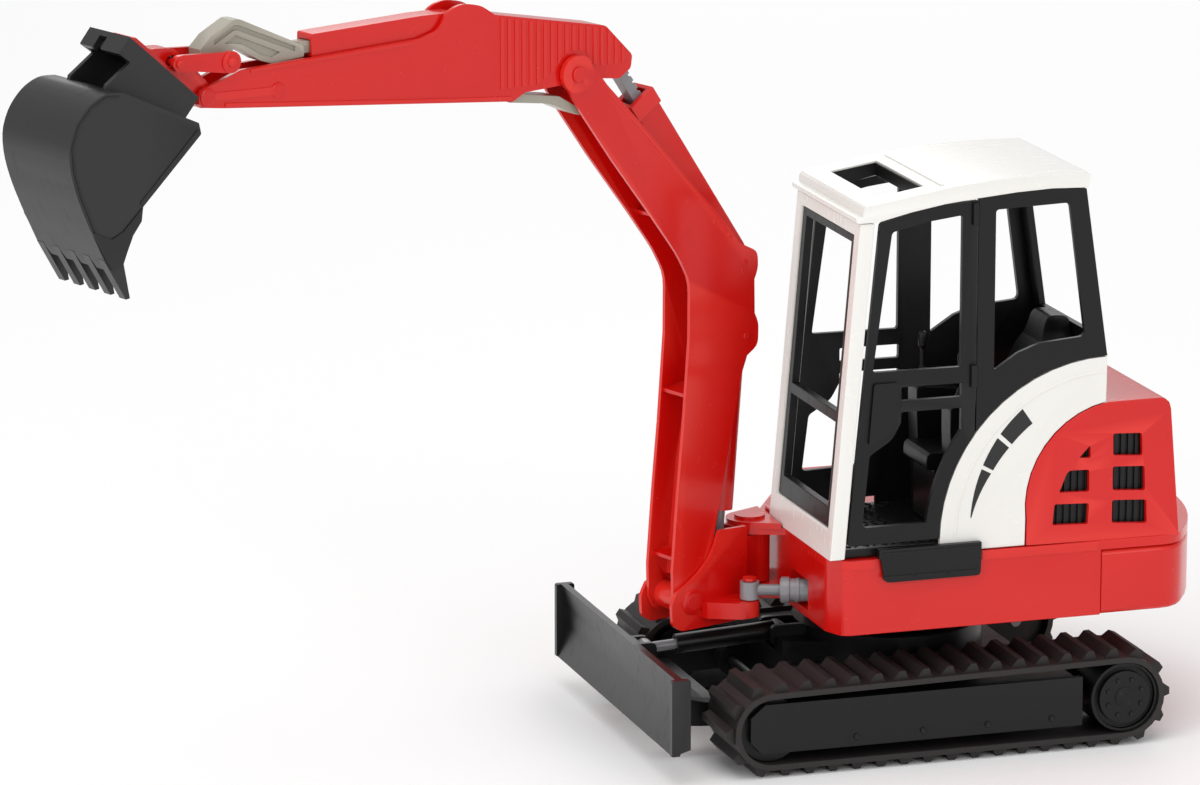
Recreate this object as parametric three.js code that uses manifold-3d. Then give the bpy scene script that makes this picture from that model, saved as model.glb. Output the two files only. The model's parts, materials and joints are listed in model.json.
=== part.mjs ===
// Toy mini excavator, moulded in plastic, about 1:16.
// Millimetres, +X forward, +Y to the machine's left (the door side), +Z up.
// The ground is z = 0. Each moving piece hangs in a group placed at its own pivot,
// so a group's place is the joint's place.
import * as THREE from 'three';
import { mergeVertices } from 'three/addons/utils/BufferGeometryUtils.js';
import Module from 'manifold-3d';

const wasm = await Module();
wasm.setup();

// ---------------------------------------------------------------- driving dimensions
const GAP = 0.3;                // clearance between pieces that meet
const TRACK_OUT = 62;           // half the width over the tracks
const BELT_WIDTH = 28;
const BELT_THICK = 1.8;
const LUG_HEIGHT = 2.6;
const LUG_COUNT = 40;
const DRIVE = { x: -58.8, z: 16, r: 13.4 };     // rear wheel: axle place and belt radius
const IDLER = { x: 60.4, z: 15.1, r: 12.5 };      // front wheel
const PLATE_LOW = 8;            // track side plate, lower and upper edge
const PLATE_HIGH = 24;

const BLADE_PIVOT = { x: 46, z: 15 };
const BLADE_FRONT = 94;
const BLADE_LOW = 10;
const BLADE_HIGH = 34.6;
const BLADE_ROD_EYE = { x: 82.4, z: 28 };
const BLADE_BARREL_PIN = { x: 37.5, z: 30.5 };

const DECK_LOW = 43;
const DECK_HIGH = 67.5;
const DECK_HALF = 57.5;         // half the width of the upper body
const TAIL_RADIUS = 97;         // rear of the upper body, about the slew axis
const DECK_FRONT = 39.2;
const WEIGHT_FRONT = -51.5;     // where the rear weight starts

const CAB_LEFT = 57;
const CAB_RIGHT = -2;
const CAB_WALL = 1.8;
const ARC_BIG = { x: -52.5, z: 71.5, r: 56 };   // outer edge of the curved side panel
const ARC_SMALL = { x: -58, z: 80.5, r: 32.5 }; // round front of the engine hood
const HOOD_TOP = 112.8;

const SWING_PIN = { x: 47.4, y: 0 };
const SWING_REST = THREE.MathUtils.degToRad(20); // the arm is stored swung to the left
const NOSE_RADIUS = 7.8;
const SWING_EYE = { x: 13.2, y: 16.5, z: 50.3 }; // on the bracket, from the swing pin
const SWING_BASE = { x: 15, y: 34 };             // swing cylinder's pin in the deck

// arm pieces, in the arm's own plane: x from the swing pin, z from the ground
const FOOT = { x: 30.1, z: 47.2 };
const BOOM_ROD_PIN = { x: 14, z: 56 };
const BOOM_BARREL_PIN = { x: 7.5, z: 131 };
const STICK_BARREL_PIN = { x: 8, z: 155 };
const STICK_PIN = { x: 74.8, z: 223.1 };
const STICK_ROD_PIN = { x: 56, z: 224 };
const LEVER_PIN = { x: 204.2, z: 241.5 };
const LINK_PIN = { x: 222.5, z: 242.9 };
const BUCKET_PIN = { x: 211.2, z: 231.3 };
const BRACKET_HALF = 8.6;       // half widths across the arm
const BOOM_HALF = 7;
const BOOM_WALL = 1.3;
const STICK_HALF = 5.4;
const LINK_HALF = 7.6;
const BUCKET_HALF = 18;
const BUCKET_WALL = 1.6;
const EAR_HALF = 10.5;          // the bucket's two mounting ears
const TOOTH_COUNT = 5;

// ---------------------------------------------------------------- materials
const plastic = (color, roughness) => new THREE.MeshStandardMaterial({ color, roughness, metalness: 0 });
const RED = () => plastic(0xd8201a, 0.32);
const WHITE = () => plastic(0xe8e6de, 0.35);
const BLACK = () => plastic(0x2b2b2c, 0.45);
const CHARCOAL = () => plastic(0x3c3b3c, 0.4);
const RUBBER = () => plastic(0x352b2b, 0.6);
const GREY = () => plastic(0x98989a, 0.35);
const WARM_GREY = () => plastic(0xa6a297, 0.4);

// ---------------------------------------------------------------- solids
// A closed geometry as a solid that can be joined and cut.
function solid(geometry) {
  const bare = geometry.index ? geometry.toNonIndexed() : geometry;
  bare.deleteAttribute('normal');
  bare.deleteAttribute('uv');
  const merged = mergeVertices(bare, 1e-4);
  return new wasm.Manifold(new wasm.Mesh({
    numProp: 3,
    vertProperties: Float32Array.from(merged.attributes.position.array),
    triVerts: Uint32Array.from(merged.index.array),
  }));
}

const join = (first, ...rest) => rest.reduce((sum, piece) => sum.add(piece), first);
const cut = (first, ...rest) => rest.reduce((left, piece) => left.subtract(piece), first);

function toGeometry(piece) {
  const mesh = piece.getMesh();
  const geometry = new THREE.BufferGeometry();
  geometry.setAttribute('position', new THREE.BufferAttribute(mesh.vertProperties, 3));
  geometry.setIndex(new THREE.BufferAttribute(mesh.triVerts, 1));
  geometry.computeVertexNormals();
  return geometry;
}

function addMesh(parent, name, piece, material) {
  const mesh = new THREE.Mesh(toGeometry(piece), material);
  mesh.name = name;
  parent.add(mesh);
  return mesh;
}

// A closed outline. A corner written [a, b, radius] is rounded, at most to the middle of its sides.
function outline(corners) {
  const shape = new THREE.Shape();
  const count = corners.length;
  corners.forEach(([a, b, radius = 0], i) => {
    const here = new THREE.Vector2(a, b);
    if (radius === 0) {
      if (i === 0) shape.moveTo(a, b);
      else shape.lineTo(a, b);
      return;
    }
    const before = new THREE.Vector2(...corners[(i + count - 1) % count].slice(0, 2)).sub(here);
    const after = new THREE.Vector2(...corners[(i + 1) % count].slice(0, 2)).sub(here);
    const size = Math.min(radius, 0.45 * before.length(), 0.45 * after.length());
    const enter = here.clone().addScaledVector(before.normalize(), size);
    const leave = here.clone().addScaledVector(after.normalize(), size);
    if (i === 0) shape.moveTo(enter.x, enter.y);
    else shape.lineTo(enter.x, enter.y);
    shape.quadraticCurveTo(a, b, leave.x, leave.y);
  });
  return shape;
}

// Points on an arc, from one angle to another in degrees.
function arc(centreA, centreB, radius, from, to, steps) {
  return Array.from({ length: steps + 1 }, (_, i) => {
    const angle = THREE.MathUtils.degToRad(from + ((to - from) * i) / steps);
    return [centreA + radius * Math.cos(angle), centreB + radius * Math.sin(angle)];
  });
}

function extrude(shape, depth) {
  return new THREE.ExtrudeGeometry(shape, { depth, bevelEnabled: false, curveSegments: 3 });
}

// A side profile in X and Z, drawn out across the machine from yLow to yHigh.
function slab(corners, yLow, yHigh) {
  const geometry = extrude(outline(corners), yHigh - yLow);
  geometry.rotateX(Math.PI / 2);
  geometry.translate(0, yHigh, 0);
  return solid(geometry);
}

// A plan outline in X and Y, drawn upwards from zLow to zHigh.
function layer(corners, zLow, zHigh) {
  const geometry = extrude(outline(corners), zHigh - zLow);
  geometry.translate(0, 0, zLow);
  return solid(geometry);
}

// A cross-section in Y and Z, drawn forwards from xLow to xHigh.
function bar(corners, xLow, xHigh) {
  const geometry = extrude(outline(corners), xHigh - xLow);
  geometry.rotateX(Math.PI / 2);
  geometry.rotateZ(Math.PI / 2);
  geometry.translate(xLow, 0, 0);
  return solid(geometry);
}

function block(xLow, xHigh, yLow, yHigh, zLow, zHigh) {
  const geometry = new THREE.BoxGeometry(xHigh - xLow, yHigh - yLow, zHigh - zLow);
  geometry.translate((xLow + xHigh) / 2, (yLow + yHigh) / 2, (zLow + zHigh) / 2);
  return solid(geometry);
}

function roundY(x, z, radius, yLow, yHigh, sides = 20) {
  const geometry = new THREE.CylinderGeometry(radius, radius, yHigh - yLow, sides);
  geometry.translate(x, (yLow + yHigh) / 2, z);
  return solid(geometry);
}

function roundZ(x, y, radius, zLow, zHigh, sides = 24) {
  const geometry = new THREE.CylinderGeometry(radius, radius, zHigh - zLow, sides);
  geometry.rotateX(Math.PI / 2);
  geometry.translate(x, y, (zLow + zHigh) / 2);
  return solid(geometry);
}

function roundX(y, z, radius, xLow, xHigh, sides = 16) {
  const geometry = new THREE.CylinderGeometry(radius, radius, xHigh - xLow, sides);
  geometry.rotateZ(Math.PI / 2);
  geometry.translate((xLow + xHigh) / 2, y, z);
  return solid(geometry);
}

// A turned piece on a Y axis, for the left or the right side: profile points are [radius, y].
function turnedY(profile, side, sides = 32) {
  const geometry = new THREE.LatheGeometry(profile.map(([r, y]) => new THREE.Vector2(r, y)), sides);
  if (side < 0) geometry.rotateX(Math.PI);
  return solid(geometry);
}

// The same profile on both sides of the arm's middle plane.
const pair = (corners, inner, outer) => join(slab(corners, inner, outer), slab(corners, -outer, -inner));

function groupAt(parent, x, y, z) {
  const group = new THREE.Group();
  group.position.set(x, y, z);
  parent.add(group);
  return group;
}

// A group whose own +X points from one pin towards another, in the X-Z plane.
function groupAlong(parent, from, to) {
  const group = groupAt(parent, from.x, 0, from.z);
  group.rotation.y = -Math.atan2(to.z - from.z, to.x - from.x);
  return group;
}

const distance = (a, b) => Math.hypot(b.x - a.x, b.z - a.z);

// ---------------------------------------------------------------- the machine
const digger = new THREE.Group();
const machine = groupAt(digger, 0, 0, 0);

// Left is side 1, right is side -1: mirrors a range across the machine.
const across = (side, near, far) => (side > 0 ? [near, far] : [-far, -near]);

// ---- tracks
// The loop round both wheels, moved outwards by an offset; each step is a place and its outward normal.
function beltPlaces(offset, steps) {
  const places = [];
  const runs = [
    { wheel: DRIVE, from: 90, to: 270 },
    { wheel: IDLER, from: -90, to: 90 },
  ];
  runs.forEach(({ wheel, from, to }) => {
    arc(wheel.x, wheel.z, wheel.r + offset, from, to, steps).forEach((point) => places.push(point));
  });
  return places;
}

// The tread's outline: a lug every pitch along the loop.
function treadOutline() {
  const straight = IDLER.x - DRIVE.x;
  const total = 2 * straight + Math.PI * (DRIVE.r + IDLER.r);
  const lugBase = 5.2;
  const lugTip = 1.9;
  const lean = 0.6;             // the lugs lean a little, as a worn rubber tread does
  const placeAt = (along, height) => {
    const s = ((along % total) + total) % total;
    const rearArc = Math.PI * DRIVE.r;
    const frontArc = Math.PI * IDLER.r;
    if (s < rearArc) {
      const angle = Math.PI / 2 + s / DRIVE.r;
      return [DRIVE.x + (DRIVE.r + height) * Math.cos(angle), DRIVE.z + (DRIVE.r + height) * Math.sin(angle)];
    }
    if (s < rearArc + straight) {
      return [DRIVE.x + (s - rearArc), DRIVE.z - DRIVE.r - height];
    }
    if (s < rearArc + straight + frontArc) {
      const angle = -Math.PI / 2 + (s - rearArc - straight) / IDLER.r;
      return [IDLER.x + (IDLER.r + height) * Math.cos(angle), IDLER.z + (IDLER.r + height) * Math.sin(angle)];
    }
    const t = (s - rearArc - straight - frontArc) / straight;
    return [IDLER.x - t * straight, IDLER.z + IDLER.r + height + t * (DRIVE.z + DRIVE.r - IDLER.z - IDLER.r)];
  };
  const points = [];
  for (let i = 0; i < LUG_COUNT; i += 1) {
    const middle = ((i + 0.5) * total) / LUG_COUNT;
    points.push(placeAt(middle - lugBase / 2, 0));
    points.push(placeAt(middle - lugTip / 2 + lean, LUG_HEIGHT));
    points.push(placeAt(middle + lugTip / 2 + lean, LUG_HEIGHT));
    points.push(placeAt(middle + lugBase / 2, 0));
  }
  return points;
}

function rubberTrack(side) {
  const lugInset = 2;
  const hollow = slab(beltPlaces(-BELT_THICK, 14), -TRACK_OUT - 5, TRACK_OUT + 5);
  const core = slab(beltPlaces(0, 16), ...across(side, TRACK_OUT - BELT_WIDTH, TRACK_OUT));
  const tread = slab(treadOutline(), ...across(side, TRACK_OUT - BELT_WIDTH + lugInset,
    TRACK_OUT - lugInset));
  return cut(join(core, tread), hollow);
}

const FRAME_IN = 35;            // inner face of a track frame
const FRAME_OUT = 61.2;
const PLATE_THICK = 2.2;
const AXLE = 2;

function trackFrame(side) {
  const outerPlate = slab([
    [62.8, PLATE_HIGH], [-44.3, PLATE_HIGH], [-44.3, PLATE_LOW], [64, PLATE_LOW], [67.6, 12], [67.6, 20],
  ], ...across(side, FRAME_OUT - PLATE_THICK, FRAME_OUT));
  const innerPlate = slab([
    [66, PLATE_HIGH - 1, 4], [-64, PLATE_HIGH - 1, 4], [-64, PLATE_LOW + 1, 4], [66, PLATE_LOW + 1, 4],
  ], ...across(side, FRAME_IN, FRAME_IN + PLATE_THICK));
  const beam = block(-43.5, 45, ...across(side, FRAME_IN, FRAME_OUT - 1), PLATE_LOW + 1.2, PLATE_HIGH - 1.2);
  const axleHole = (wheel) => roundY(wheel.x, wheel.z, AXLE + 0.15, -FRAME_OUT - 2, FRAME_OUT + 2, 16);
  const outsideOnly = block(50, 70, ...across(side, FRAME_OUT - 1, FRAME_OUT + 3), 0, 40);
  return cut(join(outerPlate, innerPlate, beam), axleHole(DRIVE), cut(axleHole(IDLER), outsideOnly));
}

const WHEEL_IN = FRAME_IN + PLATE_THICK + 0.5;

// Rear wheel: a rim, a sunk ring and a round hub face, blind on the outside.
function driveWheel(side) {
  const face = 61.4;
  const rim = DRIVE.r - BELT_THICK - 0.15;
  return turnedY([
    [0, 56], [AXLE + 0.3, 56], [AXLE + 0.3, WHEEL_IN], [rim, WHEEL_IN],
    [rim, face - 0.4], [10.4, face - 0.4], [10.4, face - 2], [8.7, face - 2], [8.7, face], [0, face],
  ], side);
}

function idlerWheel(side) {
  const rim = IDLER.r - BELT_THICK - 0.15;
  const face = FRAME_OUT - PLATE_THICK - 0.4;
  return turnedY([
    [AXLE + 0.3, WHEEL_IN], [rim, WHEEL_IN], [rim, face], [AXLE + 0.3, face], [AXLE + 0.3, WHEEL_IN],
  ], side);
}

const SIDES = [['left', 1], ['right', -1]];

for (const [word, side] of SIDES) {
  addMesh(machine, `rubber_track_${word}`, rubberTrack(side), RUBBER());
  addMesh(machine, `track_frame_${word}`, trackFrame(side), BLACK());
  const driveAxle = roundY(DRIVE.x, DRIVE.z, AXLE, ...across(side, FRAME_IN - 0.8, 55.5), 16);
  addMesh(machine, `drive_axle_${word}`, driveAxle, GREY());
  const idlerAxle = roundY(IDLER.x, IDLER.z, AXLE, ...across(side, FRAME_IN - 0.8, FRAME_OUT - 1.1), 16);
  addMesh(machine, `idler_axle_${word}`, idlerAxle, GREY());
  addMesh(groupAt(machine, DRIVE.x, 0, DRIVE.z), `drive_wheel_${word}`, driveWheel(side), BLACK());
  addMesh(groupAt(machine, IDLER.x, 0, IDLER.z), `idler_wheel_${word}`, idlerWheel(side), BLACK());
}

// ---- chassis between the tracks
const CHASSIS_HALF = FRAME_IN - GAP;
const EAR_IN = 21;
const EAR_OUT = 27;

function chassis() {
  const base = layer([
    [40, -CHASSIS_HALF], [40, CHASSIS_HALF], [-38, CHASSIS_HALF], [-38, -CHASSIS_HALF],
  ], 9.5, 23.4);
  const tower = roundZ(0, 0, 31, 20, 33, 40);
  const neck = layer([[40, -14, 3], [40, 14, 3], [0, 24], [0, -24]], 20, 30);
  const ear = [
    [38, 9.5], [BLADE_PIVOT.x + 2, 9.5, 3], [BLADE_PIVOT.x + 5, 15, 3], [BLADE_PIVOT.x + 2, 20.5, 3],
    [38, 22],
  ];
  const pinHole = roundY(BLADE_PIVOT.x, BLADE_PIVOT.z, 1.75, -40, 40, 16);
  const barrelCheeks = pair([[30, 27], [42, 27, 2], [42, 33.6, 2], [30, 33.6, 2]], 4.6, 6.6);
  const barrelPin = roundY(BLADE_BARREL_PIN.x, BLADE_BARREL_PIN.z, 1.4, -5, 5, 16);
  const barrelRoom = block(33.2, 44, -4.6, 4.6, 25, 40);
  const body = cut(join(base, tower, neck, pair(ear, EAR_IN, EAR_OUT)), pinHole, barrelRoom);
  return join(body, barrelCheeks, barrelPin);
}

addMesh(machine, 'chassis', chassis(), BLACK());
addMesh(machine, 'turntable', roundZ(0, 0, 27, 33 + GAP, DECK_LOW - GAP, 40), BLACK());
const bladePin = roundY(BLADE_PIVOT.x, BLADE_PIVOT.z, 1.6, -33, 33, 16);
addMesh(machine, 'blade_hinge_pin', bladePin, BLACK());

// ---- dozer blade, in a group at its hinge
const bladeGroup = groupAt(machine, BLADE_PIVOT.x, 0, BLADE_PIVOT.z);
const fromHinge = (corners) => corners.map(([x, z, ...r]) => [x - BLADE_PIVOT.x, z - BLADE_PIVOT.z, ...r]);

function bladeBoard() {
  const plateThick = 2.2;
  const board = slab(fromHinge([
    [BLADE_FRONT - 1.6, BLADE_HIGH], [BLADE_FRONT - 3.6, 27], [BLADE_FRONT - 3.8, 20.5],
    [BLADE_FRONT - 0.3, BLADE_LOW],
    [BLADE_FRONT - 2.6, BLADE_LOW], [BLADE_FRONT - 6, 20.5], [BLADE_FRONT - 5.8, 27],
    [BLADE_FRONT - 4, BLADE_HIGH],
  ]), -TRACK_OUT, TRACK_OUT);
  const end = fromHinge([
    [BLADE_FRONT, BLADE_LOW], [BLADE_FRONT, BLADE_HIGH, 0.8], [BLADE_FRONT - 6.2, BLADE_HIGH, 0.8],
    [BLADE_FRONT - 6.2, BLADE_LOW + 1.8],
  ]);
  return join(board, pair(end, TRACK_OUT - plateThick, TRACK_OUT));
}

function bladeFrame() {
  const arm = fromHinge([
    [BLADE_PIVOT.x - 4.2, 15, 3], [BLADE_PIVOT.x, 10.8, 3], [70, 10], [86.6, 11.4], [86.6, 22],
    [72, 17.6, 4], [BLADE_PIVOT.x, 19.2, 3],
  ]);
  const hole = roundY(0, 0, 1.9, -40, 40, 16);
  const tie = block(20, 24, -33, 33, -3, 1);
  const backPlate = block(39.4, 40.7, -33, 33, -3, 9);
  const cheeks = pair(fromHinge([[80.4, 25.2, 2], [86.7, 22], [86.7, 31], [80.4, 31, 2]]), 3.4, 5.2);
  const cheekPin = roundY(BLADE_ROD_EYE.x - BLADE_PIVOT.x, BLADE_ROD_EYE.z - BLADE_PIVOT.z, 1.4, -4, 4, 16);
  const post = block(39.4, 40.7, -5.2, 5.2, 5, 16);
  return cut(join(pair(arm, EAR_OUT + 0.5, 33), tie, backPlate, cheeks, post, cheekPin), hole);
}

addMesh(bladeGroup, 'blade', bladeBoard(), CHARCOAL());
addMesh(bladeGroup, 'blade_frame', bladeFrame(), BLACK());

// A telescoping cylinder: the barrel hangs on one pin and the rod on the other, and the rod
// slides in the barrel with side clearance. Both are drawn along +X from their own pin.
function barrel({ length, radius, bore, eye, eyeHalf, hole }) {
  const tube = cut(roundX(0, 0, radius, eye * 0.6, length), roundX(0, 0, bore, eye + 2.5, length + 1));
  return cut(join(tube, roundY(0, 0, eye, -eyeHalf, eyeHalf, 20)), roundY(0, 0, hole, -20, 20, 16));
}

function rod({ length, radius, eye, eyeHalf, hole }) {
  const stem = roundX(0, 0, radius, eye * 0.5, length);
  return cut(join(stem, roundY(0, 0, eye, -eyeHalf, eyeHalf, 20)), roundY(0, 0, hole, -20, 20, 16));
}

const bladeBarrel = groupAlong(machine, BLADE_BARREL_PIN, BLADE_ROD_EYE);
const bladeRod = groupAlong(machine, BLADE_ROD_EYE, BLADE_BARREL_PIN);
addMesh(bladeBarrel, 'blade_cylinder_barrel',
  barrel({ length: 35, radius: 3.2, bore: 2.3, eye: 2.8, eyeHalf: 3.2, hole: 1.6 }), BLACK());
addMesh(bladeRod, 'blade_cylinder_rod',
  rod({ length: 26, radius: 1.7, eye: 2.6, eyeHalf: 3.1, hole: 1.6 }), GREY());

// ---- upper body
const house = groupAt(machine, 0, 0, 0);

// Plan of the upper body: a small chamfer at the left front, the right front cut well back,
// and a round tail about the slew axis.
function deckPlan(inset = 0) {
  const half = DECK_HALF - inset;
  const tail = TAIL_RADIUS - inset;
  const reach = THREE.MathUtils.radToDeg(Math.asin(half / tail));
  const corner = -Math.sqrt(tail ** 2 - half ** 2);
  const cornerTurn = 8;         // degrees of the tail given up to each rounded rear corner
  return [
    [DECK_FRONT - 4.2 - inset * 0.6, half, 2], [corner, half, 6],
    ...arc(0, 0, tail, 180 - reach + cornerTurn, 180 + reach - cornerTurn, 16), [corner, -half, 6],
    [14 - inset, -half, 3], [DECK_FRONT - inset, -14, 2], [DECK_FRONT - inset, 50.2, 2],
  ];
}

const behind = (x) => block(-120, x, -80, 80, 0, 200);

function deck() {
  const tub = layer(deckPlan(), DECK_LOW, DECK_HIGH);
  const weightRoom = cut(behind(WEIGHT_FRONT + GAP), block(-130, 60, -90, 90, DECK_HIGH - 3, 210));
  const noseShape = (rear) => [[rear, -12], ...arc(SWING_PIN.x, 0, NOSE_RADIUS, -70, 70, 8), [rear, 12]];
  const nose = join(
    layer(noseShape(DECK_FRONT - 1), 44, 48.2),
    layer(noseShape(DECK_FRONT - 1), 65, DECK_HIGH),
    layer(noseShape(DECK_FRONT + 1.5), 67, 69),
    roundZ(SWING_PIN.x, 0, 5, 68, 70, 24),
  );
  const pinHole = roundZ(SWING_PIN.x, 0, 3.2, 40, 69.2, 20);
  const cylinderRoom = layer([
    [DECK_FRONT + 1, 15], [DECK_FRONT + 1, 33], [26, 42], [6, 42], [6, 26],
  ], 45.6, 55.6);
  const cylinderPin = roundZ(SWING_BASE.x, SWING_BASE.y, 1.5, 45, 56, 16);
  return join(cut(join(cut(tub, weightRoom), nose), pinHole, cylinderRoom), cylinderPin);
}

addMesh(house, 'deck', deck(), RED());
const weight = cut(layer(deckPlan(), DECK_LOW, DECK_HIGH - 3 - GAP), block(WEIGHT_FRONT, 100, -90, 90, 0,
  200));
addMesh(house, 'counterweight', weight, RED());

// Engine hood: a round front that rises under the seat, a flat top and a leaning rear.
const hoodFront = arc(ARC_SMALL.x, ARC_SMALL.z, ARC_SMALL.r, -8, 81, 10);
const HOOD_SIDE = [[-25.8, DECK_HIGH + GAP], ...hoodFront, [-74.3, HOOD_TOP, 4], [-78, DECK_HIGH + GAP]];

// The five windows in the hood's side, between an upright bar and the round front.
const GRILLE_WINDOWS = [
  [[-54.9, 102.2, 0.8], [-64.7, 101.7, 0.8], [-65, 94.3, 0.8], [-55, 95, 0.8]],
  [[-54.9, 91.4, 0.8], [-65.8, 90.8, 0.8], [-66.1, 82.8, 0.8], [-55, 83.6, 0.8]],
  [[-54.9, 80.4, 0.8], [-66.6, 79.7, 0.8], [-66.9, 72, 0.8], [-54.9, 72.9, 0.8]],
  [[-43.3, 95, 0.5], [-47.1, 99, 0.5], [-47.3, 94.8, 0.5]],
  [[-36.7, 84.2, 0.5], [-39.6, 91.2, 1.5], [-46.9, 91, 0.8], [-47, 83.8, 0.8]],
  [[-34.6, 73.7, 0.5], [-35.2, 80.5, 0.8], [-47, 80, 0.8], [-46.7, 73.2, 0.8]],
];
const GRILLE_SHAPE = [[-32.6, 70.6], [-33.6, 83], [-41.5, 99, 2], [-50, 104.5, 2], [-68.8, 104.5],
  [-69.8, 70.6]];
const HOOD_LEFT = CAB_LEFT;
const HOOD_RIGHT = -56.6;
const HOOD_SKIN = 1.8;

function engineHood() {
  const grow = (corners, by) => corners.map(([x, z]) => [x + (x > -50 ? by : -by), z + (z > 88 ? by : -by)]);
  const room = grow(GRILLE_SHAPE, GAP);
  const windows = GRILLE_WINDOWS.flatMap((corners) => [
    slab(corners, HOOD_LEFT - 3, HOOD_LEFT + 1),
    slab(corners, HOOD_RIGHT - 1, HOOD_RIGHT + 3),
  ]);
  return cut(
    slab(HOOD_SIDE, HOOD_RIGHT, HOOD_LEFT),
    slab(room, HOOD_LEFT - HOOD_SKIN - 3.2, HOOD_LEFT - HOOD_SKIN),
    slab(room, HOOD_RIGHT + HOOD_SKIN, HOOD_RIGHT + HOOD_SKIN + 3.2),
    ...windows,
  );
}

function grille(yLow, yHigh, outside) {
  const ribs = [];
  for (let x = -68; x < -34; x += 2.4) {
    ribs.push(block(x, x + 1.1, ...(outside > 0 ? [yHigh - 0.9, yHigh + 1] : [yLow - 1, yLow + 0.9]), 60,
      110));
  }
  return cut(slab(GRILLE_SHAPE, yLow, yHigh), ...ribs);
}

addMesh(house, 'engine_hood', engineHood(), RED());
addMesh(house, 'hood_grille_left',
  grille(HOOD_LEFT - HOOD_SKIN - 3 + GAP, HOOD_LEFT - HOOD_SKIN - GAP, 1), BLACK());
addMesh(house, 'hood_grille_right',
  grille(HOOD_RIGHT + HOOD_SKIN + GAP, HOOD_RIGHT + HOOD_SKIN + 3 - GAP, -1), BLACK());

const rightCover = layer([
  [38, -3.4], [-24.6, -3.4], [-24.6, -56.2, 3], [13.2, -56.2, 3], [37.6, -14.3, 2],
], DECK_HIGH + GAP, DECK_HIGH + 1.5);
addMesh(house, 'right_cover', rightCover, RED());

const step = join(
  slab([[24.6, 70.8], [-9.8, 70.8], [-9.6, 60, 1.5], [22.6, 60, 1.5]], DECK_HALF + GAP, DECK_HALF + 1.8),
  block(-9.8, 24.6, DECK_HALF - 0.2, DECK_HALF + 1.8, DECK_HIGH + GAP, 70.8),
);
addMesh(house, 'side_step', step, BLACK());

// ---- cab
const FLOOR_TOP = 70.6;
const floor = layer([[34.5, 0], [34.5, 54.8], [-24.6, 54.8], [-24.6, 0]], DECK_HIGH + GAP, FLOOR_TOP);
addMesh(house, 'cab_floor', floor, BLACK());

// Front of the cab leans back: x at a given height.
const frontAt = (z) => 40.2 - (9 * (z - 68)) / 108;
const frontBand = (zLow, zHigh, ahead, back) => [
  [frontAt(zLow) - ahead, zLow], [frontAt(zHigh) - ahead, zHigh],
  [frontAt(zHigh) - back, zHigh], [frontAt(zLow) - back, zLow],
];
const FRAME_TOP = 175.4;

function frontCornerFrame() {
  const whole = slab(frontBand(DECK_HIGH + GAP, FRAME_TOP, 0, 5), CAB_RIGHT, CAB_LEFT);
  const opening = slab(frontBand(77, 171, -2, 9), CAB_RIGHT + 5, CAB_LEFT - 5);
  return cut(whole, opening);
}

function frontWindowFrame() {
  const whole = slab(frontBand(77.3, 170.7, 0.8, 3.4), CAB_RIGHT + 5.3, CAB_LEFT - 5.3);
  const upper = slab(frontBand(114, 168.2, -2, 9), CAB_RIGHT + 8.6, CAB_LEFT - 8.6);
  const lower = slab(frontBand(83.5, 110.6, -2, 9), CAB_RIGHT + 8.6, CAB_LEFT - 8.6);
  return cut(whole, upper, lower);
}

addMesh(house, 'front_corner_frame', frontCornerFrame(), WHITE());
addMesh(house, 'front_window_frame', frontWindowFrame(), BLACK());

// Underside of the roof, rising from the front to the rear, then the roof's top.
const EAVES = [[25.2, 175.8], [14.8, 178.2], [3.3, 180.2], [-8, 181.4], [-21, 182.5], [-32.4, 183],
  [-44.6, 182.6]];
const ROOF_TOP = [[-45.6, 187.3, 1.5], [-28.4, 187.5], [-13.9, 187], [0.5, 185.6], [14.9, 183.2],
  [30.2, 180.9, 2.5]];

function roof() {
  const visor = [[30.6, 177.9], [32.9, 177.5, 0.5], [32.6, 176], [31.4, 175.7]];
  const shell = slab([...EAVES, ...ROOF_TOP, ...visor], CAB_RIGHT - 0.6, CAB_LEFT + 0.6);
  const skylight = block(7.2, 23, 5.5, 48.5, 160, 200);
  return cut(shell, skylight);
}

addMesh(house, 'cab_roof', roof(), WHITE());

// Curved white side panel between the hood's round front and the side window.
const bigArc = (by, from, to, steps) => arc(ARC_BIG.x, ARC_BIG.z, ARC_BIG.r + by, from, to, steps);
const smallArc = (by, from, to, steps) => arc(ARC_SMALL.x, ARC_SMALL.z, ARC_SMALL.r + by, from, to, steps);

function sidePanel(yLow, yHigh, grow = 0) {
  return slab([
    [ARC_BIG.x + ARC_BIG.r + grow, DECK_HIGH + GAP], ...bigArc(grow, 0, 90, 14),
    ...smallArc(GAP, 80, -7, 10), [-25.3, DECK_HIGH + GAP],
  ], yLow, yHigh);
}

const LEFT_SKIN = [CAB_LEFT - CAB_WALL, CAB_LEFT];
const RIGHT_SKIN = [CAB_RIGHT, CAB_RIGHT + CAB_WALL];
const LINING = 0.7;             // the black lining seen inside the cab's right side
addMesh(house, 'side_panel_left', sidePanel(...LEFT_SKIN), WHITE());
const rightPanel = sidePanel(CAB_RIGHT, CAB_RIGHT + CAB_WALL - LINING - GAP);
addMesh(house, 'side_panel_right', rightPanel, WHITE());

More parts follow.
